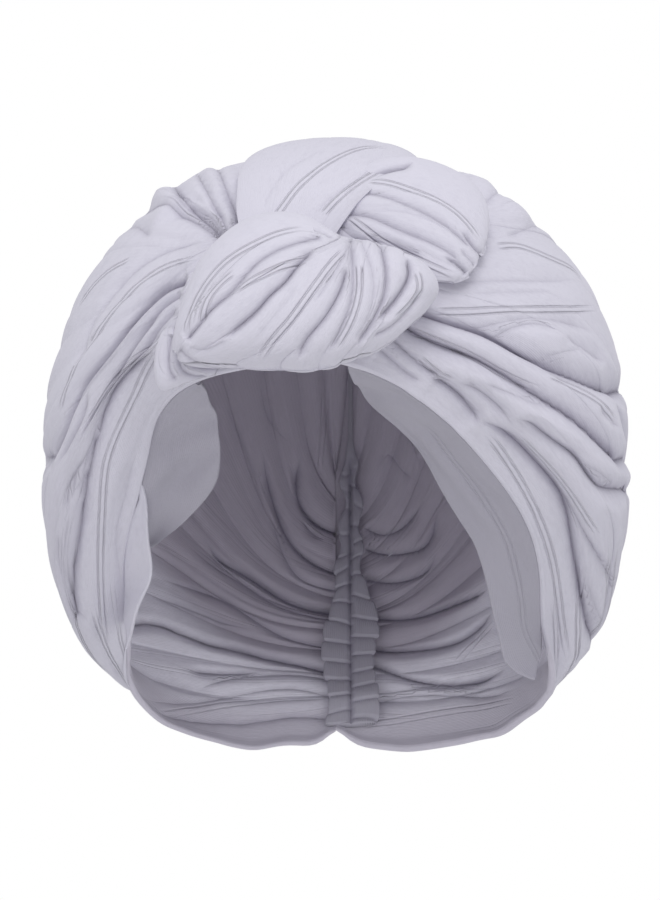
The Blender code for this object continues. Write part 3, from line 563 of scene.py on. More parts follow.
def drawn_lines(lines, points, shown):
    """Signed distance of every point from the nearest sewn line, and the line's strength."""
    off, on = np.full(len(points), NO_LINE_NEAR), np.zeros(len(points))
    for course in lines:
        places, ups = course_places(course, *shown)
        near, offset, share = near_course(places, ups, points, LINE_REACH)
        closer = np.abs(offset) < np.abs(off[near])
        strength = smooth(share, -0.01, 0.08) * smooth(share, 1.01, 0.85)
        off[near] = np.where(closer, offset, off[near])
        on[near] = np.where(closer, strength, on[near])
    return off, on * smooth(np.abs(off), *LINE_MARK_FADES)


def drawn_courses(name, points, normals, run_on=None, deep=1.0, broad=BROAD_BELL):
    """Dent of every point of a surface from its own courses, and the marks of its sewn lines and
    of the shade painted along its creases."""
    shape = points.shape[:-1]
    points, normals = points.reshape(-1, 3), normals.reshape(-1, 3)
    facing = np.sum(normals * ([0, -VIEW_DISTANCE, 0] - points), axis=-1) > 0
    shown = front_view(points[facing]), points[facing], normals[facing]
    creases, lines = COURSES[name]
    dent, fold_off, crease_shade_on = drawn_creases(creases, points, shown, run_on, deep, broad)
    line_off, line_on = drawn_lines(lines, points, shown)
    marks = {"line_off": line_off, "line_on": line_on, "fold_off": fold_off, "crease_shade_on": crease_shade_on}
    return dent.reshape(shape), {mark: values.reshape(shape) for mark, values in marks.items()}


def crease_places(panel, t):
    """Lane, depth and lap of every crease at stations t, with the two edges as end rows."""
    creases = PANELS[panel]["creases"]
    weights = spline_weights(CREASE_STATIONS, np.maximum(t, CREASE_STATIONS[0]))
    lane = np.array([c["lane"] for c in creases]) @ weights.T
    depth = np.array([c["depth"] for c in creases]) @ weights.T * MM
    edge = np.zeros((1, len(t)))
    lane = np.concatenate([edge, lane, edge + 1])
    place = envelope(panel, lane, np.broadcast_to(t, lane.shape))
    width = np.linalg.norm(np.diff(place, axis=0), axis=-1)
    limit = FOLD_SHARE * np.minimum(width[:-1], width[1:])
    depth = np.concatenate([edge, np.minimum(depth, limit), edge + 0.0005])
    lap = np.array([0.0, *[c["lap"] for c in creases], 0.0])[:, None]
    return lane, depth, lap, width


def fold_rows(widths, rows):
    """Fold number and share of every grid row: rows are dealt out by the folds' widths and
    drawn together towards the creases by a sine."""
    counts = np.maximum(9, np.floor(rows * widths / widths.sum())).astype(int)
    counts[np.argmax(counts)] += rows - counts.sum()
    fold, share = [], []
    for number, count in enumerate(counts):
        even = np.arange(count) / count
        share.append(even - 0.12 * np.sin(2 * np.pi * even))
        fold.append(np.full(count, number))
    fold.append([len(widths) - 1])
    share.append([1.0])
    return np.concatenate(fold), np.concatenate(share)[:, None]


def small_creases(seed, fold, share, t, per_fold, deep):
    """Seeded lesser creases within the folds. Each is a cusp about a share that wanders
    along its fold, and it swells and fades over a stretch of the cloth."""
    rng = np.random.default_rng(seed)
    dent = np.zeros((len(fold), len(t)))
    for number in range(1, fold.max() + 1):
        rows = fold == number
        for _ in range(per_fold):
            middle, run = rng.uniform(0.1, 0.95), rng.uniform(0.12, 0.38)
            start, slope = rng.uniform(0.22, 0.78), rng.uniform(-0.9, 0.9)
            depth, width = rng.uniform(0.35, 1.0) * deep, rng.uniform(0.05, 0.10)
            lean = rng.uniform(-0.5, 0.5)
            line = start + slope * (t - middle) * 0.5
            away = (share[rows] - line) / width
            away = np.abs(away) * (1 + lean * np.sign(away))
            stretch = np.exp(-(((t - middle) / run) ** 2))
            dent[rows] += depth * stretch * np.exp(-(away**1.2))
    return dent


def lap_share(share, lap_low, lap_high):
    """How far a fold's edge is carried over its neighbour: a hump close to the crease on
    the side that laps over, share/a times exp(1 - share/a), where a is its place."""
    low = share / LAP_PLACE * np.exp(1 - share / LAP_PLACE)
    high = (1 - share) / LAP_PLACE * np.exp(1 - (1 - share) / LAP_PLACE)
    return high * np.maximum(-lap_high, 0) - low * np.maximum(lap_low, 0)


def fold_relief(fold, share, depth, lap, t, seed):
    """Dent and carry of every grid point. A crease's dent is its depth times a power of the
    share left to it: a high power, so a steep side, under a fold that laps over, and a low
    one on the side that is lapped. Seeded drift makes each crease deeper and shallower along
    its run."""
    along = np.broadcast_to(t, (len(fold), len(t)))
    uneven = np.clip(1 + 0.30 * drift(seed, fold[:, None] * 1.0, along, 3.1, 0.45), 0.55, 1.25)
    power_low = ROUNDNESS * (1 + 0.6 * lap[fold])
    power_high = ROUNDNESS * (1 - 0.6 * lap[fold + 1])
    crease = depth[fold] * (1 - share) ** power_low + depth[fold + 1] * share**power_high
    return crease * uneven, lap_share(share, lap[fold], lap[fold + 1])


def panel_stations():
    """Stations of a panel's columns, closer together at the front."""
    even = np.linspace(0, 1, PANEL_COLUMNS)
    return 0.9 * even + 0.1 * even**3


def outer_face(panel, seed):
    """The folded outer cloth: the envelope less the creases' dents, with lesser creases,
    gathers near the knot and the seam, and a slow drift. The even creases give way to the
    drawn ones in front."""
    t = panel_stations()
    lane, depth, lap, width = crease_places(panel, t)
    fold, share = fold_rows(width[:, PANEL_COLUMNS // 2], PANEL_ROWS)
    low, high = lane[fold], lane[fold + 1]
    s = low + (high - low) * share
    along = np.broadcast_to(t, s.shape)
    dent, carried = fold_relief(fold, share, depth, lap, t, seed)
    even = FRONT_SHARE + (1 - FRONT_SHARE) * smooth(along, *EVEN_FROM)
    dent, carried = dent * even, carried * even
    base, up = envelope(panel, s, along), outward(panel, s, along)
    drawn, marks = drawn_courses(panel, base, up, run_behind, OUTER_DEPTH)
    crease = np.maximum(dent, drawn)
    dent = np.where(drawn < 0, dent + drawn, np.maximum(dent, drawn))
    lesser = small_creases(seed + 1, fold + 1, share, t, LESSER_CREASES, LESSER_DEPTH)
    dent = dent + lesser * (0.22 + 0.68 * even)
    ripple = np.abs(np.sin(np.pi * (RIPPLES * s + 1.3 * drift(seed + 2, s, along, 0.2, 0.6))))
    gathered = smooth(along, 0.80, 0.97) + 0.10 * smooth(along, 0.36, 0.16)
    dent = dent + RIPPLE_DEPTH * gathered * (1 - ripple) ** 2 * smooth(s, 0.05, 0.12)
    dent = dent - SLOW_DRIFT * drift(seed + 3, s, along, 0.16, 0.30)
    seam = np.minimum((1 - along) * CLOTH_LENGTH, (1 - s) * CLOTH_WIDTH)
    dent = dent + SEAM_DENT * np.exp(-((seam / SEAM_WIDTH) ** 1.4))
    strength = np.maximum(depth[fold], depth[fold + 1]) / (4.5 * MM)
    crossing = np.maximum(width[fold], NARROWEST_FOLD)
    dent = np.minimum(dent, inner_depth(s) - LEAST_WALL)
    s_moved = np.clip(s + carried * LAP_OVERHANG * strength / crossing * (high - low), 0, 1)
    points = envelope(panel, s_moved, along) - dent[..., None] * outward(panel, s_moved, along)
    # How much shade is painted in the creases
    marks["crease"] = np.clip(crease / (5 * MM), 0, 1)
    marks["drawn"] = smooth(along, 0.58, 0.46)
    return points, s, along, marks


def inner_depth(s):
    """How far inside the envelope the tops of the inner folds lie."""
    return HEM + smooth(s, 0.0, 0.13) * (CLOTH + DEEPEST_FOLD - HEM)


def inner_shades(s, t):
    """Marks for painted shade and light on the inside: painted shade above, and painted light
    low down, where the front light reaches it. The painted light goes up less far towards the seam."""
    hem = smooth(s, 0.175, 0.155) * smooth(t, 0.60, 0.72)
    up_to = 0.64 - 0.38 * smooth(t, 0.68, 0.95)
    low = smooth(s, up_to + 0.12, up_to - 0.16) * smooth(t, 0.45, 0.60)
    low = low * smooth(s, 0.02, 0.16)
    return {"shaded_inside": 1 - np.maximum(HEM_LIGHT_SHARE * hem, low), "lit": low * smooth(s, 0.07, 0.18)}


def inner_face(panel, seed):
    """The inside of the cloth: nearly flat at the sides, and gathered towards the back seam
    into rolls whose creases lie halfway between the outer ones."""
    t = panel_stations()
    lane, _, _, _ = crease_places(panel, t)
    lane = np.concatenate([lane[:1], (lane[1:-1] + lane[2:]) / 2, lane[-1:]])
    place = envelope(panel, lane, np.broadcast_to(t, lane.shape))
    width = np.linalg.norm(np.diff(place, axis=0), axis=-1)
    fold, share = fold_rows(width[:, int(PANEL_COLUMNS * 0.85)], PANEL_ROWS)
    low, high = lane[fold], lane[fold + 1]
    along = np.broadcast_to(t, low.shape)
    s = low + (high - low) * share
    lap = np.where(fold % 2 == 0, 0.5, 0.1)[:, None]
    gathered = smooth(along, 0.50, 0.86) * smooth(s, 0.10, 0.16)
    limit = INNER_FOLD_SHARE * width[fold]
    cusp = (1 - share) ** (3.0 * (1 + lap)) * (fold > 0)[:, None]
    cusp = cusp + share ** (3.0 * (1 - 0.5 * lap)) * (fold < fold.max())[:, None]
    swell = 1 + 0.35 * drift(seed, fold[:, None] * 1.0, along, 2.7, 0.35)
    relief = np.minimum(INNER_FOLD * swell, limit) * cusp * gathered
    base, up = envelope(panel, s, along), outward(panel, s, along)
    base = base - inner_depth(s)[..., None] * up
    drawn, marks = drawn_courses(panel + "_inside", base, -up, broad=INNER_BELL)
    relief = np.maximum(INNER_SHARE * relief, drawn)
    relief = relief + small_creases(seed + 1, fold, share, t, 2, 1.1 * MM) * smooth(along, 0.3, 0.7)
    relief = relief + 0.5 * MM * drift(seed + 2, s, along, 0.22, 0.3)
    most = np.minimum(inner_depth(s) - CLOTH, 0.0012 + 0.0032 * smooth(along, 0.45, 0.56))
    depth = inner_depth(s) - np.minimum(relief, most)
    points = envelope(panel, s, along) - depth[..., None] * outward(panel, s, along)
    # Painted shade in the inner creases, stronger along their lines than outside
    marks["crease"] = np.clip(relief / (4 * MM), 0, 1)
    marks["drawn"] = np.full(s.shape, 0.8)
    marks.update(inner_shades(s, along))
    marks["crease_shade_on"] = np.minimum(INNER_FOLD_MARK * marks["crease_shade_on"], 1)
    marks["line_on"] = INNER_LINE_MARK * marks["line_on"]
    return points, s, along, marks


def make_mesh(name, points, quads, uv, marks, material, triangles=None):
    """A mesh object from arrays, with a UV map in metres of cloth and named vertex marks. Its
    faces are turned outwards by the sign of the volume that they enclose."""
    points = points.reshape(-1, 3)
    triangles = np.zeros((0, 3), int) if triangles is None else triangles
    halves = np.concatenate([quads[:, [0, 1, 2]], quads[:, [0, 2, 3]], triangles])
    a, b, c = np.moveaxis(points[halves], 1, 0)
    if np.einsum("ij,ij->", a, np.cross(b, c)) < 0:
        quads, triangles = quads[:, ::-1], triangles[:, ::-1]
    corners = np.concatenate([quads.ravel(), triangles.ravel()]).astype(np.int32)
    sizes = np.repeat([4, 3], [len(quads), len(triangles)])
    mesh = bpy.data.meshes.new(name)
    mesh.vertices.add(len(points))
    mesh.vertices.foreach_set("co", points.astype(np.float32).ravel())
    mesh.loops.add(len(corners))
    mesh.loops.foreach_set("vertex_index", corners)
    mesh.polygons.add(len(sizes))
    mesh.polygons.foreach_set("loop_start", (np.cumsum(sizes) - sizes).astype(np.int32))
    mesh.update(calc_edges=True)
    layer = mesh.uv_layers.new(name="cloth")
    layer.uv.foreach_set("vector", uv.reshape(-1, 2)[corners].astype(np.float32).ravel())
    for mark, values in marks.items():
        attribute = mesh.attributes.new(mark, "FLOAT", "POINT")
        attribute.data.foreach_set("value", values.astype(np.float32).ravel())
    mesh.materials.append(material)
    mesh.validate()
    mesh.shade_smooth()
    piece = bpy.data.objects.new(name, mesh)
    bpy.context.scene.collection.objects.link(piece)
    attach(piece, BODY)
    return piece


def grid_quads(number, ring=False):
    """Quads of a grid of vertex numbers, closed from its last row to its first if a ring."""
    if ring:
        number = np.concatenate([number, number[:1]])
    corners = (number[:-1, :-1], number[:-1, 1:], number[1:, 1:], number[1:, :-1])
    return np.stack(corners, -1).reshape(-1, 4)


def end_caps(number, half):
    """Quads that close both ends of a ring grid, whose first `half` rows face its last ones."""
    caps = []
    for column in (0, -1):
        first, last = number[:half, column], number[::-1, column][:half]
        cap = np.stack([first[:-1], first[1:], last[1:], last[:-1]], -1)
        caps.append(cap[:, ::-1] if column == 0 else cap)
    return caps


def hem_rows(outer_edge, inner_edge, off_edge):
    """A rounded hem between two edges: half a turn from one to the other, bulging off the
    edge by half their distance."""
    turn = (np.arange(HEM_ROWS) + 1) / (HEM_ROWS + 1) * np.pi
    turn = turn[:, None, None]
    middle, half = (outer_edge + inner_edge) / 2, (outer_edge - inner_edge) / 2
    size = np.linalg.norm(half, axis=-1, keepdims=True)
    return middle + half * np.cos(turn) + off_edge * size * np.sin(turn)


def rim_lift(seed, t):
    """How far the rim at the nape is out of line: seeded waves, and a notch at the seam."""
    waves = drift(seed + 9, t, 0 * t, 0.045, 1.0) + 0.8 * drift(seed + 10, t, 0 * t, 0.11, 1.0)
    notch = 3.2 * np.exp(-(((1 - t) / 0.014) ** 2))
    return MM * smooth(t, 0.60, 0.75) * (0.45 * waves + notch)


def low_fullness(panel, s, t, is_outer):
    """How far the cloth stands out of the envelope low down: along the nape's rim on both
    faces, and on the outer face also above it at the side."""
    rim, side = FULLNESS[panel]
    at_rim = smooth(s, 0.32, 0.02) * np.interp(t, FULL_STATIONS, rim)
    above = smooth(s, 0.0, 0.10) * smooth(s, 0.62, 0.34) * np.interp(t, FULL_STATIONS, side)
    return MM * np.maximum(at_rim, np.where(is_outer, above, 0))


def make_panel(name, seed, material):
    """A gathered side panel as one closed cloth wall: outer face, hem, inner face, and the
    two ends, kept to its own side of the middle plane. Its rim at the nape is waved, and its
    low parts stand out."""
    outer, s_out, t_out, mark_out = outer_face(name, seed)
    inner, s_in, t_in, mark_in = inner_face(name, seed + 40)
    hem = hem_rows(outer[0], inner[0], unit(outer[0] - outer[6]))
    points = np.concatenate([outer[::-1], hem, inner])
    side = PANELS[name]["side"]
    points[..., 0] = side * np.maximum(side * points[..., 0], 0)
    rim_way = np.concatenate([s_out[::-1], np.zeros((HEM_ROWS, PANEL_COLUMNS)), s_in])
    points[..., 2] += rim_lift(seed, t_in[0]) * np.exp(-((rim_way / 0.06) ** 2))
    t_way = np.broadcast_to(t_in[0], rim_way.shape)
    is_outer = np.arange(len(rim_way))[:, None] < len(s_out)
    fuller = low_fullness(name, rim_way, t_way, is_outer)
    points = points + fuller[..., None] * outward(name, rim_way, t_way)
    hem_s = np.zeros((HEM_ROWS, PANEL_COLUMNS)) - np.linspace(0.002, 0.012, HEM_ROWS)[:, None]
    s = np.concatenate([s_out[::-1], hem_s, -0.015 - s_in])
    t = np.concatenate([t_out, t_out[:HEM_ROWS], t_in])
    mark_out.update({"shaded_inside": s_out * 0, "lit": s_out * 0})
    # The hem's own edge gets painted inner shade, low at the nape
    mark_hem = {"line_off": NO_LINE_NEAR, "fold_off": NO_LINE_NEAR,
                "shaded_inside": HEM_SHADE * smooth(t[:HEM_ROWS], 0.56, 0.70)}
    marks = {}
    for mark, values in mark_out.items():
        at_hem = hem_s * 0 + mark_hem.get(mark, 0)
        marks[mark] = np.concatenate([values[::-1], at_hem, mark_in[mark]])
    number = np.arange(s.size).reshape(s.shape)
    uv = np.stack([s * CLOTH_WIDTH, t * CLOTH_LENGTH], -1)
    quads = np.concatenate([grid_quads(number, ring=True), *end_caps(number, len(number) // 2)])
    piece = make_mesh(name + "_cloth", points, quads, uv, marks, material)
    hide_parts(name)
    return piece


# The knot. Each length of cloth is a cushion on the envelope, drawn on a plane that touches
# it at `centre` (azimuth, height angle). Outline rows are (across, up, height above the
# envelope) in millimetres. `crest` is the height of the middle, and `sink` how much of it goes
# for each millimetre to the left and down. `folds` runs across it: each row has a crease's
# depth in millimetres, its lap, and its (across, up) places at the line stations.
LINE_STATIONS = (0.0, 0.12, 0.29, 0.47, 0.65, 0.83, 1.0)
LOBES = {
    "knot_loop": {
        "centre": (-5, 30),
        "outline": (
            (39, 1, 8), (34, 7.5, 7), (22, 11.5, 7), (10, 12.5, 8), (-4, 21, 8), (-19, 20, 8),
            (-32, 9, 8), (-39, -6, 8), (-43, -19, 8), (-41, -27, 8), (-21, -27, 10),
            (-2, -28, 11), (13, -25, 11), (26, -17, 10), (36, -6, 9),
        ),
        "crest": 27, "fullness": 2.4, "grid": (250, 190), "cloth": (0.10, 0.085),
        "folds": (
            (0, 0, ((3, 18), (-4, 21), (-15, 21), (-28, 13), (-36, 2), (-41, -10), (-43, -20))),
            (3.4, 0.9, ((7, 13), (6, 8), (-2, 7), (-13, 2), (-23, -6), (-32, -13), (-40, -22))),
            (2.6, -0.6, ((8, 12.8), (8, 7.5), (2, 2), (-7, -3), (-16, -8), (-27, -14), (-39, -24))),
            (4.2, 0.8, ((10, 12.5), (10, 6.5), (1, -1), (-6, -8), (-13, -16), (-23, -22), (-37, -26))),
            (3.0, 0.6, ((12, 12.3), (11, 6), (7, -5), (2, -12), (-4, -20), (-12, -25), (-22, -27))),
            (2.4, 0.5, ((15, 12.1), (13, 6), (10, -6), (7, -14), (2, -21), (-3, -25), (-8, -28))),
            (3.0, -0.5, ((18, 11.9), (16, 5.5), (14, -5), (13, -12), (10, -18), (7, -23), (3, -28))),
            (3.4, -0.8, ((22, 11.5), (20, 5), (20, -2), (20, -9), (18, -16), (14, -22), (10, -26))),
            (3.6, -0.8, ((27, 10), (25, 5), (27, 1), (26, -7), (22, -14), (18, -20), (15, -24))),
            (0, 0, ((33, 8), (38, 5), (39, 0), (36, -6), (31, -12), (25, -18), (19, -22))),
        ),
    },
    "knot_band": {
        "centre": (-3, 60),
        "outline": (
            (-26, -36, 3), (-28, -14, 4), (-28, 8, 4), (-24, 30, 2), (-10, 46, 1),
            (6, 49, 1), (20, 42, 1), (29, 27, 1), (27, 10, 3), (20, -1, 5), (11, -16, 5.5),
            (3, -34, 4), (-12, -38, 3),
        ),
        "crest": 6.5, "sink": (0, 0.09), "fullness": 3.0, "grid": (150, 170), "cloth": (0.055, 0.095),
        "folds": (
            (0, 0, ((-26, -36), (-28, -22), (-28, -6), (-28, 10), (-25, 26), (-18, 39), (-8, 47))),
            (0.7, 0.3, ((-17, -38), (-14, -25), (-11, -10), (-8, 6), (-3, 22), (0, 36), (0, 48))),
            (1.2, 0.5, ((-4, -37), (1, -24), (8, -10), (14, 3), (17, 17), (16, 31), (9, 46))),
            (0, 0, ((3, -34), (9, -21), (17, -7), (25, 6), (28, 17), (27, 29), (18, 42))),
        ),
    },
    "knot_side_band": {
        "centre": (25, 47),
        "outline": (
            (-29, 15, 1.5), (-36, 4, 1.5), (-26, -8, 1.5), (-16, -17, 2), (-8, -27, 3), (3, -27, 4),
            (10, -20, 4.5), (15, -11, 4), (18, 0, 6), (16, 11, 8), (6, 21, 8.5), (-8, 26, 7),
            (-20, 22, 3),
        ),
        "crest": 11, "sink": (0.27, 0.05), "fullness": 3.0, "grid": (170, 170), "cloth": (0.06, 0.075),
        "folds": (
            (0, 0, ((-29, 15), (-20, 22), (-8, 26), (6, 21), (15, 11), (18, 0), (15, -11))),
            (2.6, 0.7, ((-32, 11), (-20, 10), (-10, 6), (-2, 1), (6, -6), (10, -11), (13, -16))),
            (2.8, 0.6, ((-34, 7), (-26, 4), (-16, 0), (-8, -5), (-1, -12), (5, -17), (9, -21))),
            (3.0, 0.8, ((-35, 5), (-30, 1), (-24, -5), (-16, -12), (-8, -20), (-2, -24), (5, -26))),
            (0, 0, ((-36, 3), (-31, -4), (-26, -9), (-19, -15), (-12, -23), (-7, -27), (0, -28))),
        ),
    },
    "knot_tuck": {
        "centre": (-35, 18),
        "outline": (
            (0, 7, 2), (4, 9, 2), (7, 5, 2), (11, 2, 2), (20, 1, 3), (23, -4, 3),
            (17, -8, 3), (9, -10, 3), (2, -11, 2), (-1, -3, 2),
        ),
        "crest": 7, "fullness": 2.4, "grid": (90, 120), "cloth": (0.022, 0.038),
        "folds": (
            (0, 0, ((0, 7), (-1, 2), (-1, -4), (2, -11), (9, -10), (16, -8), (21, -6))),
            (2.0, 0.5, ((2, 8), (2, 3), (2, -2), (5, -7), (10, -7), (15, -5), (22, -5))),
            (1.8, 0.5, ((3, 9), (4, 5), (5, 1), (7, -3), (11, -3), (16, -2), (23, -3))),
            (0, 0, ((4, 9), (6, 7), (8, 5), (10, 3), (14, 2), (18, 2), (22, -1))),
        ),
    },
}
CHART_RADIUS = 0.100
CURL_TURNS = 9
CURL_IN = 0.22  # how far a cushion's underside turns in before it runs flat, as a share
UNDER_CLEAR = 0.9  # millimetres above the envelope
UNDER_SHARES = (0.6, 0.4, 0.2)
LOBE_OVERHANG = 0.0016
LOBE_SHARE = 0.40  # what a cushion's own folds keep of their depth beside the courses
LOBE_FOLD_SHARE = 0.42  # the deepest that such a fold may be, as a share of the fold beside it


def closed_curve(points, count):
    """Catmull-Rom curve through a closed ring of points."""
    points = np.array(points, float)
    place = np.linspace(0, len(points), count, endpoint=False)
    k, u = place.astype(int), (place % 1)[:, None]
    before, start, end, after = (points[(k + i) % len(points)] for i in (-1, 0, 1, 2))
    bent = 2 * before - 5 * start + 4 * end - after + u * (3 * (start - end) + after - before)
    return start + 0.5 * u * (end - before + u * bent)


def on_chart(lobe, place, height):
    """Points at a height above the envelope, over places in millimetres on a chart."""
    middle = compass(*lobe["centre"])
    across = unit(np.array([-middle[1], middle[0], 0.0]))
    up = np.cross(middle, across)
    place = place * MM
    direction = unit(CHART_RADIUS * middle + place[..., :1] * across + place[..., 1:] * up)
    return (reach(direction) + height * MM)[..., None] * direction


def cushion_height(lobe, place):
    """Height of a cushion's top: from the rim's own height up to the crest by
    (1 - r^fullness)^(1/2.2), where r is the share of the way from the middle to the rim. The
    crest is lowered to the left and downwards by the cushion's sink."""
    rim = closed_curve(lobe["outline"], 360)
    middle = rim[:, :2].mean(axis=0)
    spoke = rim[:, :2] - middle
    angle = np.arctan2(spoke[:, 1], spoke[:, 0])
    order = np.argsort(angle)
    away = place - middle
    at = np.arctan2(away[..., 1], away[..., 0])
    radius = np.interp(at, angle[order], np.linalg.norm(spoke, axis=1)[order], period=2 * np.pi)
    waist = np.interp(at, angle[order], rim[order, 2], period=2 * np.pi)
    share = np.clip(np.linalg.norm(away, axis=-1) / radius, 0, 1)
    rise = (1 - share ** lobe["fullness"]) ** (1 / 2.2)
    crest = lobe["crest"] + np.minimum(place, 0) @ np.array(lobe.get("sink", (0, 0)), float)
    return waist + (crest - waist) * rise


def line_places(lobe, u, t):
    """Places on a cushion's chart: its fold lines, joined by splines across and along."""
    lines = np.array([line for _, _, line in lobe["folds"]], float)
    knots = np.linspace(0, 1, len(lines))
    return np.einsum(
        "...l,...k,lkc->...c", spline_weights(knots, u), spline_weights(LINE_STATIONS, t), lines
    )


def cushion_top(lobe, u, t):
    place = line_places(lobe, u, t)
    return on_chart(lobe, place, cushion_height(lobe, place))


def cushion_normals(lobe, u, t, top):
    """Unit normals of a cushion's smooth top, away from the head."""
    small = 0.003
    down_u = cushion_top(lobe, np.clip(u + small, 0, 1), t)
    down_u = down_u - cushion_top(lobe, np.clip(u - small, 0, 1), t)
    down_t = cushion_top(lobe, u, np.clip(t + small, 0, 1))
    down_t = down_t - cushion_top(lobe, u, np.clip(t - small, 0, 1))
    normal = unit(np.cross(down_u, down_t))
    return normal * np.sign(np.sum(normal * top, -1, keepdims=True).mean())


def cushion_cloth(name, seed):
    """The folded cloth over a cushion: its points, dents, chart places, UV map and marks. Its
    columns are closer together at both ends."""
    lobe = LOBES[name]
    rows, columns = lobe["grid"]
    t = (1 - np.cos(np.linspace(0, np.pi, columns))) / 2
    t = 0.35 * t + 0.65 * np.linspace(0, 1, columns)
    folds = lobe["folds"]
    knots = np.linspace(0, 1, len(folds))
    at_lines = (len(folds), columns)
    edges = line_places(lobe, np.broadcast_to(knots[:, None], at_lines), np.broadcast_to(t, at_lines))
    width = np.linalg.norm(np.diff(edges, axis=0), axis=-1) * MM
    fold, share = fold_rows(width.max(axis=1), rows - 1)
    low, high = knots[fold][:, None], knots[fold + 1][:, None]
    u = np.broadcast_to(low + (high - low) * share, (rows, columns))
    along = np.broadcast_to(t, (rows, columns))
    depth = np.array([depth for depth, _, _ in folds])[1:-1, None] * MM
    depth = np.minimum(depth, LOBE_FOLD_SHARE * np.minimum(width[:-1], width[1:]))
    depth = np.pad(depth, ((1, 1), (0, 0)))
    lap = np.array([lap for _, lap, _ in folds])[:, None]
    dent, carried = fold_relief(fold, share, depth, lap, t, seed)
    dent = dent + small_creases(seed + 1, fold + 1, share, t, 2, 0.9 * MM)
    moved = carried * LOBE_OVERHANG * np.maximum(depth[fold], depth[fold + 1]) / (3.5 * MM)
    u_moved = np.clip(u + moved / np.maximum(width[fold], NARROWEST_FOLD) * (high - low), 0, 1)
    base = cushion_top(lobe, u_moved, along)
    normal = cushion_normals(lobe, u_moved, along, base)
    drawn, marks = drawn_courses(name, base, normal, deep=KNOT_DEPTH, broad=KNOT_BELL)
    dent = np.maximum(LOBE_SHARE * dent, drawn)
    place = line_places(lobe, u_moved, along)
    cloth_width, cloth_length = lobe["cloth"]
    uv = np.stack([u * cloth_width, along * cloth_length], -1).reshape(-1, 2)
    return base - dent[..., None] * normal, dent, place, uv, marks


def cushion_under(lobe, place, dent, loop):
    """Rings from a cushion's rim downwards, and the last one's middle: a quarter turn that
    curls in under the rim, then flat rings just above the envelope."""
    rim, rim_height = place.reshape(-1, 2)[loop], cushion_height(lobe, place).reshape(-1)[loop]
    rim_dent = dent.reshape(-1)[loop] / MM
    middle = place.reshape(-1, 2).mean(axis=0)
    turn = (np.arange(CURL_TURNS) + 1)[:, None] / CURL_TURNS * np.pi / 2
    inward = rim_dent[None, :, None] * unit(rim - middle)
    scale = (1 - CURL_IN * (1 - np.cos(turn)))[..., None]
    ring_place = middle + scale * (rim - inward - middle)
    ring_height = UNDER_CLEAR + (rim_height - rim_dent - UNDER_CLEAR) * (1 - np.sin(turn))
    flat_place = middle + np.array(UNDER_SHARES)[:, None, None] * (rim - middle)
    under = np.full(flat_place.shape[:2], UNDER_CLEAR)
    rings = [on_chart(lobe, ring_place, ring_height), on_chart(lobe, flat_place, under)]
    return np.concatenate(rings), on_chart(lobe, middle[None], np.array([UNDER_CLEAR]))


def make_lobe(name, seed, material):
    """A length of cloth in the knot: folds across a cushion, closed by a rim that curls in
    under it and an underside just above the envelope."""
    lobe = LOBES[name]
    top, dent, place, uv, marks = cushion_cloth(name, seed)
    number = np.arange(dent.size).reshape(dent.shape)
    loop = np.concatenate([number[0, :-1], number[:-1, -1], number[-1, :0:-1], number[:0:-1, 0]])
    rings, pole = cushion_under(lobe, place, dent, loop)
    points = np.concatenate([top.reshape(-1, 3), rings.reshape(-1, 3), pole])
    ring_number = number.size + np.arange(len(rings) * len(loop)).reshape(-1, len(loop))
    ring_number = np.concatenate([loop[None], ring_number])
    ring_number = np.concatenate([ring_number, ring_number[:, :1]], axis=1)
    last = ring_number[-1]
    uv = np.concatenate([uv, np.tile(uv[loop], (len(rings), 1)), uv[loop][:1]])
    fan = np.stack([last[:-1], last[1:], np.full(len(loop), len(points) - 1)], -1)
    faces = np.concatenate([grid_quads(number), grid_quads(ring_number)])
    # How much shade is painted in the cushion's creases
    marks["crease"] = np.clip(dent / (4 * MM), 0, 1)
    for mark, values in marks.items():
        values = values.reshape(-1)
        pole_value = 0 if mark == "crease" else NO_LINE_NEAR
        marks[mark] = np.concatenate([values, np.tile(values[loop], len(rings)), [pole_value]])
    none = np.zeros(len(points))
    marks.update({"shaded_inside": none, "drawn": none + 0.9})
    piece = make_mesh(name + "_cloth", points, faces, uv, marks, material, triangles=fan)
    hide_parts(name)
    return piece


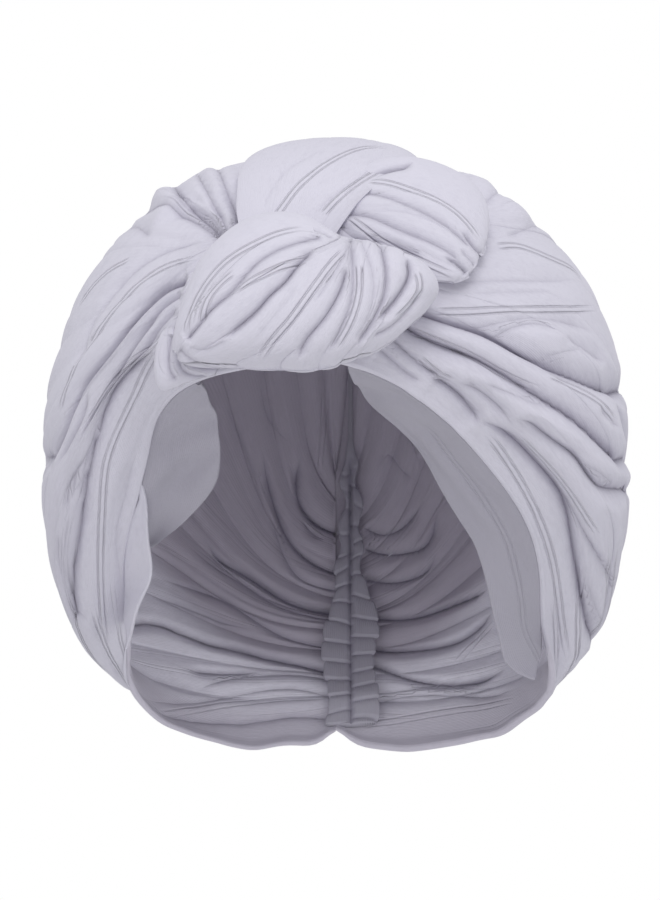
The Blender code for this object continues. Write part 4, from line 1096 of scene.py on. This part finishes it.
# Facings: thin loose sheets from the front edge into the hollow. Each row is a station along
# the front edge, and where the sheet's free edge lies there: x, y, z in millimetres. `stitched`
# is how strongly its row of stitches shows.
FACINGS = {
    "left_facing": {
        "panel": "left_panel", "stations": (0.11, 0.46), "replaces": ("left_facing",),
        "rows": (
            (0.11, (-45, -66, 25)), (0.15, (-41, -54, 16)), (0.20, (-39, -46, 7)),
            (0.26, (-39, -38, -3)), (0.32, (-42, -31, -12)), (0.37, (-49, -26, -20)),
            (0.42, (-57, -21, -27)), (0.46, (-63, -17, -30)),
        ),
        "flat": (0.014, 0.105), "wave": 0.0014, "stitched": 0,
    },
    "right_facing": {
        "panel": "right_panel", "stations": (0.035, 0.66), "replaces": ("right_facing",),
        "rows": (
            (0.035, (4, -79, 27)), (0.09, (9, -60, 20)), (0.16, (16, -54, 12)), (0.22, (26, -48, 3)),
            (0.28, (33, -42, -8)), (0.33, (39, -36, -18)), (0.38, (45, -30, -27)),
            (0.44, (49, -22, -36)), (0.50, (53, -13, -50)), (0.56, (56, -5, -63)),
            (0.61, (60, 0, -72)), (0.66, (69, 7, -78)),
        ),
        "flat": (0.020, 0.180), "wave": 0.0009, "stitched": 0.5,
    },
    "left_edge_leaf": {
        "panel": "left_panel", "stations": (0.30, 0.585), "replaces": (),
        "rows": (
            (0.30, (-68, -44, 1)), (0.38, (-64, -36, -17)), (0.43, (-63, -28, -32)),
            (0.47, (-63, -22, -41)), (0.50, (-65, -18, -47)), (0.54, (-69, -11, -56)),
            (0.585, (-72, -1, -67)),
        ),
        "flat": (0.010, 0.075), "wave": 0.0004, "stitched": 0,
    },
}
FACING_CLOTH = 0.0011
FACING_CLEAR = 0.0004
FACING_BELLY = 0.10
FACING_GRID = (44, 150)
STITCHED_FROM = (0.060, 0.075)  # way along the edge over which the row of stitches sets in
STITCHED_AT = 0.42  # where that row lies between the two edges


def make_facing(name, seed, material):
    """A facing: a sheet ruled from the front edge to the free edge, bowed by a parabola and
    waved by seeded drift, with half a thickness to each side and a rounded free edge."""
    plan = FACINGS[name]
    rows, columns = FACING_GRID
    t = np.linspace(*plan["stations"], columns)
    s = np.zeros_like(t)
    panel = plan["panel"]
    edge = envelope(panel, s, t) - HEM * 0.7 * outward(panel, s, t)
    free = np.array([place for _, place in plan["rows"]]) * MM
    free = spline_weights([station for station, _ in plan["rows"]], t) @ free
    off_edge = unit(envelope(panel, s, t) - envelope(panel, s + 0.05, t))
    start = edge + (FACING_CLEAR + FACING_CLOTH / 2) * off_edge
    share = np.linspace(0, 1, rows)[:, None, None]
    width = np.linalg.norm(free - start, axis=-1)[:, None]
    sheet = start + (free - start) * share
    sheet = sheet + FACING_BELLY * 4 * share * (1 - share) * width * np.array([0, 1, 0])
    normal = unit(np.cross(np.gradient(sheet, axis=1), np.gradient(sheet, axis=0)))
    across = share[..., 0] * width[:, 0]
    along = np.broadcast_to(t * CLOTH_LENGTH, across.shape)
    wave = drift(seed, across + 0.35 * along, along - 0.5 * across, 0.013, 0.05)
    sheet = sheet + plan["wave"] * (wave * smooth(share[..., 0], 0, 0.3))[..., None] * normal
    half = FACING_CLOTH / 2 * np.sqrt(np.clip(1 - smooth(share, 0.97, 1.0) ** 2, 0.02, 1))
    points = np.concatenate([(sheet + half * normal)[::-1], sheet - half * normal])
    number = np.arange(points.shape[0] * columns).reshape(-1, columns)
    u = np.concatenate([across[::-1], -across])
    uv = np.stack([u, np.concatenate([along, along])], -1)
    quads = np.concatenate([grid_quads(number, ring=True), *end_caps(number, rows)])
    far = u * 0 + NO_LINE_NEAR
    row = (share[..., 0] - STITCHED_AT) * width[:, 0]
    row = np.concatenate([row[::-1], row])
    stitched = plan["stitched"] * smooth(np.concatenate([along, along]), *STITCHED_FROM)
    marks = {"crease": u * 0, "shaded_inside": u * 0, "line_off": row, "line_on": stitched,
             "fold_off": far, "drawn": u * 0 + 1}
    piece = make_mesh(name + "_cloth", points, quads, uv, marks, material)
    if plan["replaces"]:
        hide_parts(*plan["replaces"])
    return piece


# Casing over the elastic, from above the nape up the back seam, and on as a thin ridge
# along the crown. Rows: way along it (1 where the back seam ends, 1.14 at the end of the
# ridge), half width and depth in millimetres.
CASING = (
    (0.03, 9.0, 3.2), (0.45, 9.5, 3.2), (0.66, 8.0, 3.0), (0.78, 5.0, 3.0), (0.90, 3.6, 3.0),
    (0.99, 2.8, 2.6), (1.03, 1.0, 1.6), (1.14, 0.7, 1.2),
)
CASING_CLEAR = 0.0006
BACK_ROUNDNESS = 0.18  # twice the radius of the inside of the back, in plan
CASING_GRID = (420, 64)
CASING_ASIDE = 0.0055  # how far it lies to the right of the middle plane
TAB_LENGTH = 0.0074  # from one of the tabs that the elastic draws up to the next
TAB_STEP = 0.43  # how far the tabs on the left are out of step with those on the right
TWIST = 0.0011  # how far the casing's upper part swings from side to side
TWIST_LENGTH = 0.0085
SEWN_DEPTH = 0.0013  # depth and half width of the sewn groove along the casing's middle
SEWN_WIDTH = 0.0008


def seam_path(way):
    """Points and normals up the back seam to way 1, then forward along the crown."""
    s = np.clip(way, 0, 1)
    t = 1 - np.clip(way - 1, 0, 1)
    normal = outward("left_panel", s, t)
    depth = inner_depth(s) + CASING_CLEAR
    seam = envelope("left_panel", s, t) - depth[:, None] * normal
    seam[:, 0], normal[:, 0] = 0, 0
    return seam, unit(normal)


def casing_tabs(along, across):
    """How puffed the casing is, and how unevenly its tabs stand out. Each tab rises at once,
    stays full and drops near its end, out of step left and right of the middle."""
    right = across > 0.05
    step = np.where(right, 0.0, TAB_STEP)
    phase = along[:, None] / TAB_LENGTH + step + 0.25 * drift(61, along[:, None], across, 0.03, 4.0)
    tab = np.floor(phase)
    within = phase - tab
    puffed = (1 - 0.8 * within**5) * smooth(within, 0.0, 0.14)
    return puffed, np.sin(5.1 * tab + 2.0 * right)


def make_casing(material):
    """The casing: a flat tube along the seam, to the right of it, drawn up into tabs by its
    elastic and sewn down along its middle. Its section is a squarish closed curve, the powers
    of a cosine and a sine."""
    rows, columns = CASING_GRID
    table = np.array(CASING)
    way = np.linspace(table[0, 0], table[-1, 0], rows)
    half_width, depth = (np.interp(way, table[:, 0], table[:, k]) * MM for k in (1, 2))
    seam, normal = seam_path(way)
    along = np.concatenate([[0], np.cumsum(np.linalg.norm(np.diff(seam, axis=0), axis=1))])
    turn = np.linspace(0, 2 * np.pi, columns, endpoint=False)
    turn = turn - 0.2 * np.sin(4 * turn)
    across, through = np.cos(turn), np.sin(turn)
    across = np.sign(across) * np.abs(across) ** 0.6
    through = np.sign(through) * np.abs(through) ** 0.7
    puffed, uneven = casing_tabs(along, across)
    strong = smooth(way, 1.02, 0.97)[:, None]
    swell = 1 + strong * (0.07 * (puffed - 0.7) + 0.13 * uneven)
    x = half_width[:, None] * across * swell
    swing = np.sin(along / TWIST_LENGTH * np.pi) * smooth(way, 0.70, 0.85) * strong[:, 0]
    x = x + (TWIST * swing)[:, None]
    lift = (through + 1) / 2
    groove = SEWN_DEPTH * np.exp(-((x / SEWN_WIDTH) ** 2)) * strong
    rise = depth[:, None] * (0.66 + 0.34 * puffed * strong + 0.2 * (1 - strong)) - groove
    rise = rise * lift + (x + CASING_ASIDE) ** 2 / BACK_ROUNDNESS
    points = seam[:, None] - rise[..., None] * normal[:, None]
    points[..., 0] += x + CASING_ASIDE
    number = np.arange(rows * columns).reshape(rows, columns)
    number = np.concatenate([number, number[:, :1]], axis=1)
    ends = np.concatenate([points[:1].mean(axis=1), points[-1:].mean(axis=1)])
    points = np.concatenate([points.reshape(-1, 3), ends])
    first, last = number[0], number[-1]
    fans = [
        np.stack([first[1:], first[:-1], np.full(columns, rows * columns)], -1),
        np.stack([last[:-1], last[1:], np.full(columns, rows * columns + 1)], -1),
    ]
    u = np.broadcast_to(across * 0.010, (rows, columns)).reshape(-1)
    v = np.repeat(along, columns)
    uv = np.concatenate([np.stack([u, v], -1), [[0, 0], [0, along[-1]]]])
    # Painted shade between the puffed tabs, and a painted dark line along the sewn groove
    shade = np.concatenate([((1 - puffed) * strong * lift).reshape(-1), [0, 0]])
    sewn = np.concatenate([x.reshape(-1), [NO_LINE_NEAR, NO_LINE_NEAR]])
    sewn_on = np.concatenate([(0.9 * strong * lift).reshape(-1), [0, 0]])
    every = np.ones(len(points))
    marks = {"crease": np.clip(shade, 0, 1), "shaded_inside": every, "drawn": every,
             "line_off": NO_LINE_NEAR * every, "fold_off": sewn, "crease_shade_on": sewn_on}
    piece = make_mesh("back_casing_cloth", points, grid_quads(number), uv, marks, material,
                      triangles=np.concatenate(fans))
    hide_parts("back_casing")
    return piece


class Wiring:
    """Short ways to place and join a node tree's nodes."""

    def __init__(self, tree):
        self.tree = tree

    def node(self, kind, **settings):
        node = self.tree.nodes.new(kind)
        for name, value in settings.items():
            setattr(node, name, value)
        return node

    def join(self, value, socket):
        if isinstance(value, bpy.types.NodeSocket):
            self.tree.links.new(value, socket)
        elif value is not None:
            socket.default_value = value

    def math(self, operation, *values, clamp=False):
        node = self.node("ShaderNodeMath", operation=operation, use_clamp=clamp)
        for value, socket in zip(values, node.inputs):
            self.join(value, socket)
        return node.outputs[0]

    def step(self, value, start, end):
        """Smooth step from 0 at start to 1 at end."""
        node = self.node("ShaderNodeMapRange", interpolation_type="SMOOTHSTEP")
        for place, given in enumerate((value, start, end, 0.0, 1.0)):
            self.join(given, node.inputs[place])
        return node.outputs[0]

    def mark(self, name):
        """A named vertex mark of the mesh, or 0 where it has none."""
        return self.node("ShaderNodeAttribute", attribute_name=name).outputs["Fac"]

    def noise(self, vector, scale, detail=3.0, rough=0.55):
        node = self.node("ShaderNodeTexNoise")
        self.join(vector, node.inputs["Vector"])
        for name, value in (("Scale", scale), ("Detail", detail), ("Roughness", rough)):
            node.inputs[name].default_value = value
        return node.outputs[0]

    def mix(self, share, first, second):
        node = self.node("ShaderNodeMix", data_type="RGBA")
        for place, given in ((0, share), (6, first), (7, second)):
            self.join(given, node.inputs[place])
        return node.outputs[2]


def make_group(name, inputs, outputs):
    """An empty node group with float inputs (name, default) and float outputs."""
    tree = bpy.data.node_groups.new(name, "ShaderNodeTree")
    for label, default in inputs:
        socket = tree.interface.new_socket(label, in_out="INPUT", socket_type="NodeSocketFloat")
        socket.default_value = default
    for label in outputs:
        tree.interface.new_socket(label, in_out="OUTPUT", socket_type="NodeSocketFloat")
    wiring = Wiring(tree)
    return wiring, wiring.node("NodeGroupInput").outputs, wiring.node("NodeGroupOutput").inputs


def make_pin_tucks():
    """Pairs of fine sewn lines along the cloth. Across the cloth, each cell of the given
    spacing holds one pair at a place of its own, which fades in and out along its run. The
    drawn pairs are added by their distance mark."""
    wiring, given, result = make_group(
        "pin_tucks",
        (("Across", 0.0), ("Along", 0.0), ("Spacing", 0.011), ("Gap", 0.0021), ("Line", 0.0006),
         ("Shown", 0.5), ("Drawn", 0.0), ("Drawn Off", 0.006), ("Drawn On", 0.0)),
        ("Line", "Cord"),
    )
    math = wiring.math
    place = wiring.node("ShaderNodeCombineXYZ")
    wiring.join(math("MULTIPLY", given["Across"], 14.0), place.inputs[0])
    wiring.join(math("MULTIPLY", given["Along"], 22.0), place.inputs[1])
    waver = math("MULTIPLY", math("SUBTRACT", wiring.noise(place.outputs[0], 1.0), 0.5), 0.0035)
    cell = math("DIVIDE", math("ADD", given["Across"], waver), given["Spacing"])
    index = math("FLOOR", cell)
    chance = wiring.node("ShaderNodeTexWhiteNoise", noise_dimensions="1D")
    wiring.join(index, chance.inputs["W"])
    centre = math("ADD", 0.34, math("MULTIPLY", chance.outputs[0], 0.32))
    off = math("SUBTRACT", math("FRACT", cell), centre)
    away = math("MULTIPLY", math("ABSOLUTE", off), given["Spacing"])
    half = math("MULTIPLY", given["Gap"], 0.5)
    off_line = math("ABSOLUTE", math("SUBTRACT", away, half))
    line = math("SUBTRACT", 1.0, wiring.step(off_line, 0.0, given["Line"]))
    run = wiring.node("ShaderNodeCombineXYZ")
    wiring.join(math("MULTIPLY", index, 7.31), run.inputs[0])
    wiring.join(math("MULTIPLY", given["Along"], 13.0), run.inputs[1])
    fade = math("ADD", wiring.noise(run.outputs[0], 1.0, 1.0), math("SUBTRACT", given["Shown"], 0.5))
    shown = math("MULTIPLY", wiring.step(fade, 0.40, 0.56), math("SUBTRACT", 1.0, given["Drawn"]))
    cord = math("SUBTRACT", 1.0, wiring.step(away, math("MULTIPLY", half, 0.3), half))
    from_drawn = math("ABSOLUTE", given["Drawn Off"])
    off_drawn = math("ABSOLUTE", math("SUBTRACT", from_drawn, half))
    drawn_line = math("SUBTRACT", 1.0, wiring.step(off_drawn, 0.0, given["Line"]))
    drawn_cord = math("SUBTRACT", 1.0, wiring.step(from_drawn, math("MULTIPLY", half, 0.3), half))
    for free, drawn, socket in ((line, drawn_line, "Line"), (cord, drawn_cord, "Cord")):
        free = math("MULTIPLY", free, shown)
        drawn = math("MULTIPLY", drawn, given["Drawn On"])
        wiring.join(math("MAXIMUM", free, drawn), result[socket])
    return wiring.tree


def make_jersey_knit():
    """The knit itself: fine ribs along the cloth, broken by noise, and slow cloudy shade."""
    wiring, given, result = make_group(
        "jersey_knit", (("Across", 0.0), ("Along", 0.0), ("Rib", 0.0007)),
        ("Height", "Cloud", "Grain"),
    )
    math = wiring.math
    place = wiring.node("ShaderNodeCombineXYZ")
    wiring.join(given["Across"], place.inputs[0])
    wiring.join(math("MULTIPLY", given["Along"], 0.35), place.inputs[1])
    wave = math("SINE", math("MULTIPLY", math("DIVIDE", given["Across"], given["Rib"]), 6.2832))
    fuzz = math("SUBTRACT", wiring.noise(place.outputs[0], 1300.0, 2.0), 0.5)
    height = math("ADD", math("MULTIPLY", wave, 0.25), math("MULTIPLY", fuzz, 1.2))
    wiring.join(height, result["Height"])
    wiring.join(wiring.noise(place.outputs[0], 38.0, 3.0), result["Cloud"])
    wiring.join(wiring.noise(place.outputs[0], 620.0, 2.0, 0.7), result["Grain"])
    return wiring.tree


# Colours of the cloth. The shaded one is painted shade in creases, and the colour of sewn lines.
PALE_JERSEY = (0.605, 0.588, 0.668, 1.0)
SHADED_JERSEY = (0.27, 0.25, 0.33, 1.0)
# Painted shade: the inside of the hollow lies in shade, so its colour is darker
SHADED_INSIDE_JERSEY = (0.47, 0.435, 0.51, 1.0)
# Painted light: the low inside is paler where the front light reaches it
LIT_JERSEY = (0.82, 0.80, 0.89, 1.0)
# Painted shade: the facings and the casing lie in the hollow, so their colour is darker
SHADED_LINING_JERSEY = (0.375, 0.36, 0.42, 1.0)

# How far the colour turns towards the shaded one, and how far from a crease's line the painted shade
# reaches
SEWN_SHADE = 0.24
# Painted shade: deeper creases, and a dark core and halo along each crease's line
CREASE_SHADE = 0.30
CORE_SHADE = 0.62
HALO_SHADE = 0.12
# The knit's own uneven tone
CLOUD_SHADE = 0.22
GRAIN_SHADE = 0.36
CORE_WIDTH = 0.0007
HALO_WIDTH = 0.0028


def make_cloth(name, face, tucks, knit, shown=0.5, shaded_inside=None):
    """Matt jersey: its colour turns towards the shaded one in creases, as painted shade, and along
    the sewn lines. Where a colour for the inside is given, marks choose between that painted
    shade of the hollow, the face's colour and the lit one, which is painted light."""
    material = bpy.data.materials.new(name)
    material.use_nodes = True
    wiring = Wiring(material.node_tree)
    math, mark = wiring.math, wiring.mark
    shader = material.node_tree.nodes["Principled BSDF"]
    across, along, _ = wiring.node("ShaderNodeSeparateXYZ").outputs
    wiring.join(wiring.node("ShaderNodeUVMap", uv_map="cloth").outputs[0], across.node.inputs[0])
    pair = wiring.node("ShaderNodeGroup", node_tree=tucks)
    weave = wiring.node("ShaderNodeGroup", node_tree=knit)
    for group in (pair, weave):
        wiring.join(across, group.inputs["Across"])
        wiring.join(along, group.inputs["Along"])
    pair.inputs["Shown"].default_value = shown
    for label, socket in (("drawn", "Drawn"), ("line_off", "Drawn Off"), ("line_on", "Drawn On")):
        wiring.join(mark(label), pair.inputs[socket])
    colour = face
    if shaded_inside:
        # Painted shade in the hollow, then painted light where the front light reaches the low inside
        colour = wiring.mix(mark("shaded_inside"), face, shaded_inside)
        colour = wiring.mix(mark("lit"), colour, LIT_JERSEY)
    # Painted shade along each crease's line: a dark core and a softer halo
    fold_off, crease_shade_on = math("ABSOLUTE", mark("fold_off")), mark("crease_shade_on")
    core, halo = (
        math("MULTIPLY", math("EXPONENT", math("DIVIDE", fold_off, -width)), crease_shade_on)
        for width in (CORE_WIDTH, HALO_WIDTH)
    )
    sewn = math("MULTIPLY", pair.outputs["Line"], SEWN_SHADE)
    folded = math("MULTIPLY", math("POWER", mark("crease"), 1.6), CREASE_SHADE)
    folded = math("ADD", folded, math("MULTIPLY", core, CORE_SHADE))
    folded = math("ADD", folded, math("MULTIPLY", halo, HALO_SHADE))
    cloudy = math("MULTIPLY", math("SUBTRACT", weave.outputs["Cloud"], 0.5), CLOUD_SHADE)
    grain = math("MULTIPLY", math("SUBTRACT", weave.outputs["Grain"], 0.5), GRAIN_SHADE)
    cloudy = math("ADD", cloudy, grain)
    share = math("ADD", math("MAXIMUM", sewn, folded), cloudy, clamp=True)
    wiring.join(wiring.mix(share, colour, SHADED_JERSEY), shader.inputs["Base Color"])
    rough = math("ADD", 0.80, math("MULTIPLY", weave.outputs["Cloud"], 0.16))
    wiring.join(rough, shader.inputs["Roughness"])
    shader.inputs["Specular IOR Level"].default_value = 0.25
    shader.inputs["Sheen Weight"].default_value = 0.12
    shader.inputs["Sheen Roughness"].default_value = 0.55
    bump = wiring.node("ShaderNodeBump")
    bump.inputs["Distance"].default_value = 0.00045
    bump.inputs["Strength"].default_value = 0.9
    height = math("MULTIPLY", pair.outputs["Cord"], 0.5)
    height = math("SUBTRACT", height, pair.outputs["Line"])
    height = math("SUBTRACT", height, math("MULTIPLY", core, 2.0))
    height = math("ADD", height, math("MULTIPLY", weave.outputs["Height"], 0.18))
    wiring.join(height, bump.inputs["Height"])
    wiring.join(bump.outputs[0], shader.inputs["Normal"])
    return material


# The photograph's camera: 1.5 m in front of the hat, level with the middle of its hollow
CAMERA_PLACE = (-0.00207, -1.5, 0.0017)
CAMERA_LENS = 173.9
FLOOR_HEIGHT = -0.35
FLOOR_RADIUS = 1.0

# How strongly the studio's white surroundings light the hat from below, above and the sides
SKY_LOW = 0.48
SKY_HIGH = 0.76
SKY_SIDES = 0.14

# Soft lights: name, place, size in metres, power in watts
LIGHTS = (
    ("key", (0.10, -1.12, 1.22), 0.9, 11.0),
    ("left_fill", (-0.95, -1.10, -0.22), 0.7, 2.0),
    ("right_fill", (0.95, -1.10, -0.22), 0.7, 2.0),
)


def make_camera():
    camera = bpy.data.objects.new("camera", bpy.data.cameras.new("camera"))
    bpy.context.scene.collection.objects.link(camera)
    camera.location = CAMERA_PLACE
    camera.rotation_euler = (np.pi / 2, 0, 0)
    camera.data.lens = CAMERA_LENS
    camera.data.sensor_width = 36
    bpy.context.scene.camera = camera


def make_light(name, place, size, power):
    """A soft square light that faces the origin."""
    light = bpy.data.objects.new(name, bpy.data.lights.new(name, "AREA"))
    bpy.context.scene.collection.objects.link(light)
    light.location = place
    aim = -np.array(place) / np.linalg.norm(place)
    light.rotation_euler = (np.arccos(-aim[2]), 0, np.arctan2(aim[1], aim[0]) - np.pi / 2)
    light.data.size = size
    light.data.energy = power


def make_world():
    """White to the camera. As a light, it is dimmer from below than from above and the sides."""
    bpy.context.scene.view_settings.view_transform = "Standard"
    world = bpy.data.worlds.new("studio")
    bpy.context.scene.world = world
    world.use_nodes = True
    wiring = Wiring(world.node_tree)
    world.node_tree.nodes.clear()
    sky = wiring.node("ShaderNodeTexCoord").outputs["Generated"]
    split = wiring.node("ShaderNodeSeparateXYZ")
    wiring.join(sky, split.inputs[0])
    high = wiring.step(split.outputs["Z"], -0.5, 0.9)
    sides = wiring.math("MULTIPLY", wiring.math("POWER", split.outputs["X"], 2.0), SKY_SIDES)
    strength = wiring.math("ADD", SKY_LOW, wiring.math("MULTIPLY", high, SKY_HIGH - SKY_LOW))
    strength = wiring.math("ADD", strength, sides)
    lit = wiring.node("ShaderNodeBackground")
    lit.inputs["Color"].default_value = (0.97, 0.98, 1.0, 1)
    wiring.join(strength, lit.inputs["Strength"])
    white = wiring.node("ShaderNodeBackground")
    white.inputs["Color"].default_value = (1, 1, 1, 1)
    white.inputs["Strength"].default_value = 1.0
    seen = wiring.node("ShaderNodeLightPath").outputs["Is Camera Ray"]
    choice = wiring.node("ShaderNodeMixShader")
    wiring.join(seen, choice.inputs[0])
    wiring.join(lit.outputs[0], choice.inputs[1])
    wiring.join(white.outputs[0], choice.inputs[2])
    wiring.join(choice.outputs[0], wiring.node("ShaderNodeOutputWorld").inputs[0])


def make_floor():
    """A plain pale disc below the hat, out of the photograph's view."""
    turn = np.linspace(0, 2 * np.pi, 64, endpoint=False)
    ring = np.stack([np.cos(turn), np.sin(turn), 0 * turn], -1) * FLOOR_RADIUS
    ring[:, 2] = FLOOR_HEIGHT
    mesh = bpy.data.meshes.new("floor")
    mesh.from_pydata(ring.tolist(), [], [list(range(len(turn)))])
    floor = bpy.data.objects.new("floor", mesh)
    bpy.context.scene.collection.objects.link(floor)
    material = bpy.data.materials.new("pale_floor")
    material.use_nodes = True
    shader = material.node_tree.nodes["Principled BSDF"]
    shader.inputs["Base Color"].default_value = (0.8, 0.8, 0.8, 1)
    shader.inputs["Roughness"].default_value = 0.9
    mesh.materials.append(material)


def main():
    tucks, knit = make_pin_tucks(), make_jersey_knit()
    jersey = make_cloth("jersey", PALE_JERSEY, tucks, knit, shaded_inside=SHADED_INSIDE_JERSEY)
    shaded_lining = make_cloth("facing", SHADED_LINING_JERSEY, tucks, knit, shown=0.3)
    make_panel("left_panel", 3, jersey)
    make_panel("right_panel", 19, jersey)
    for seed, name in enumerate(LOBES):
        make_lobe(name, 70 + 5 * seed, jersey)
    for seed, name in enumerate(FACINGS):
        make_facing(name, 90 + seed, jersey if name == "left_edge_leaf" else shaded_lining)
    make_casing(shaded_lining)
    make_camera()
    for light in LIGHTS:
        make_light(*light)
    make_world()
    make_floor()


main()
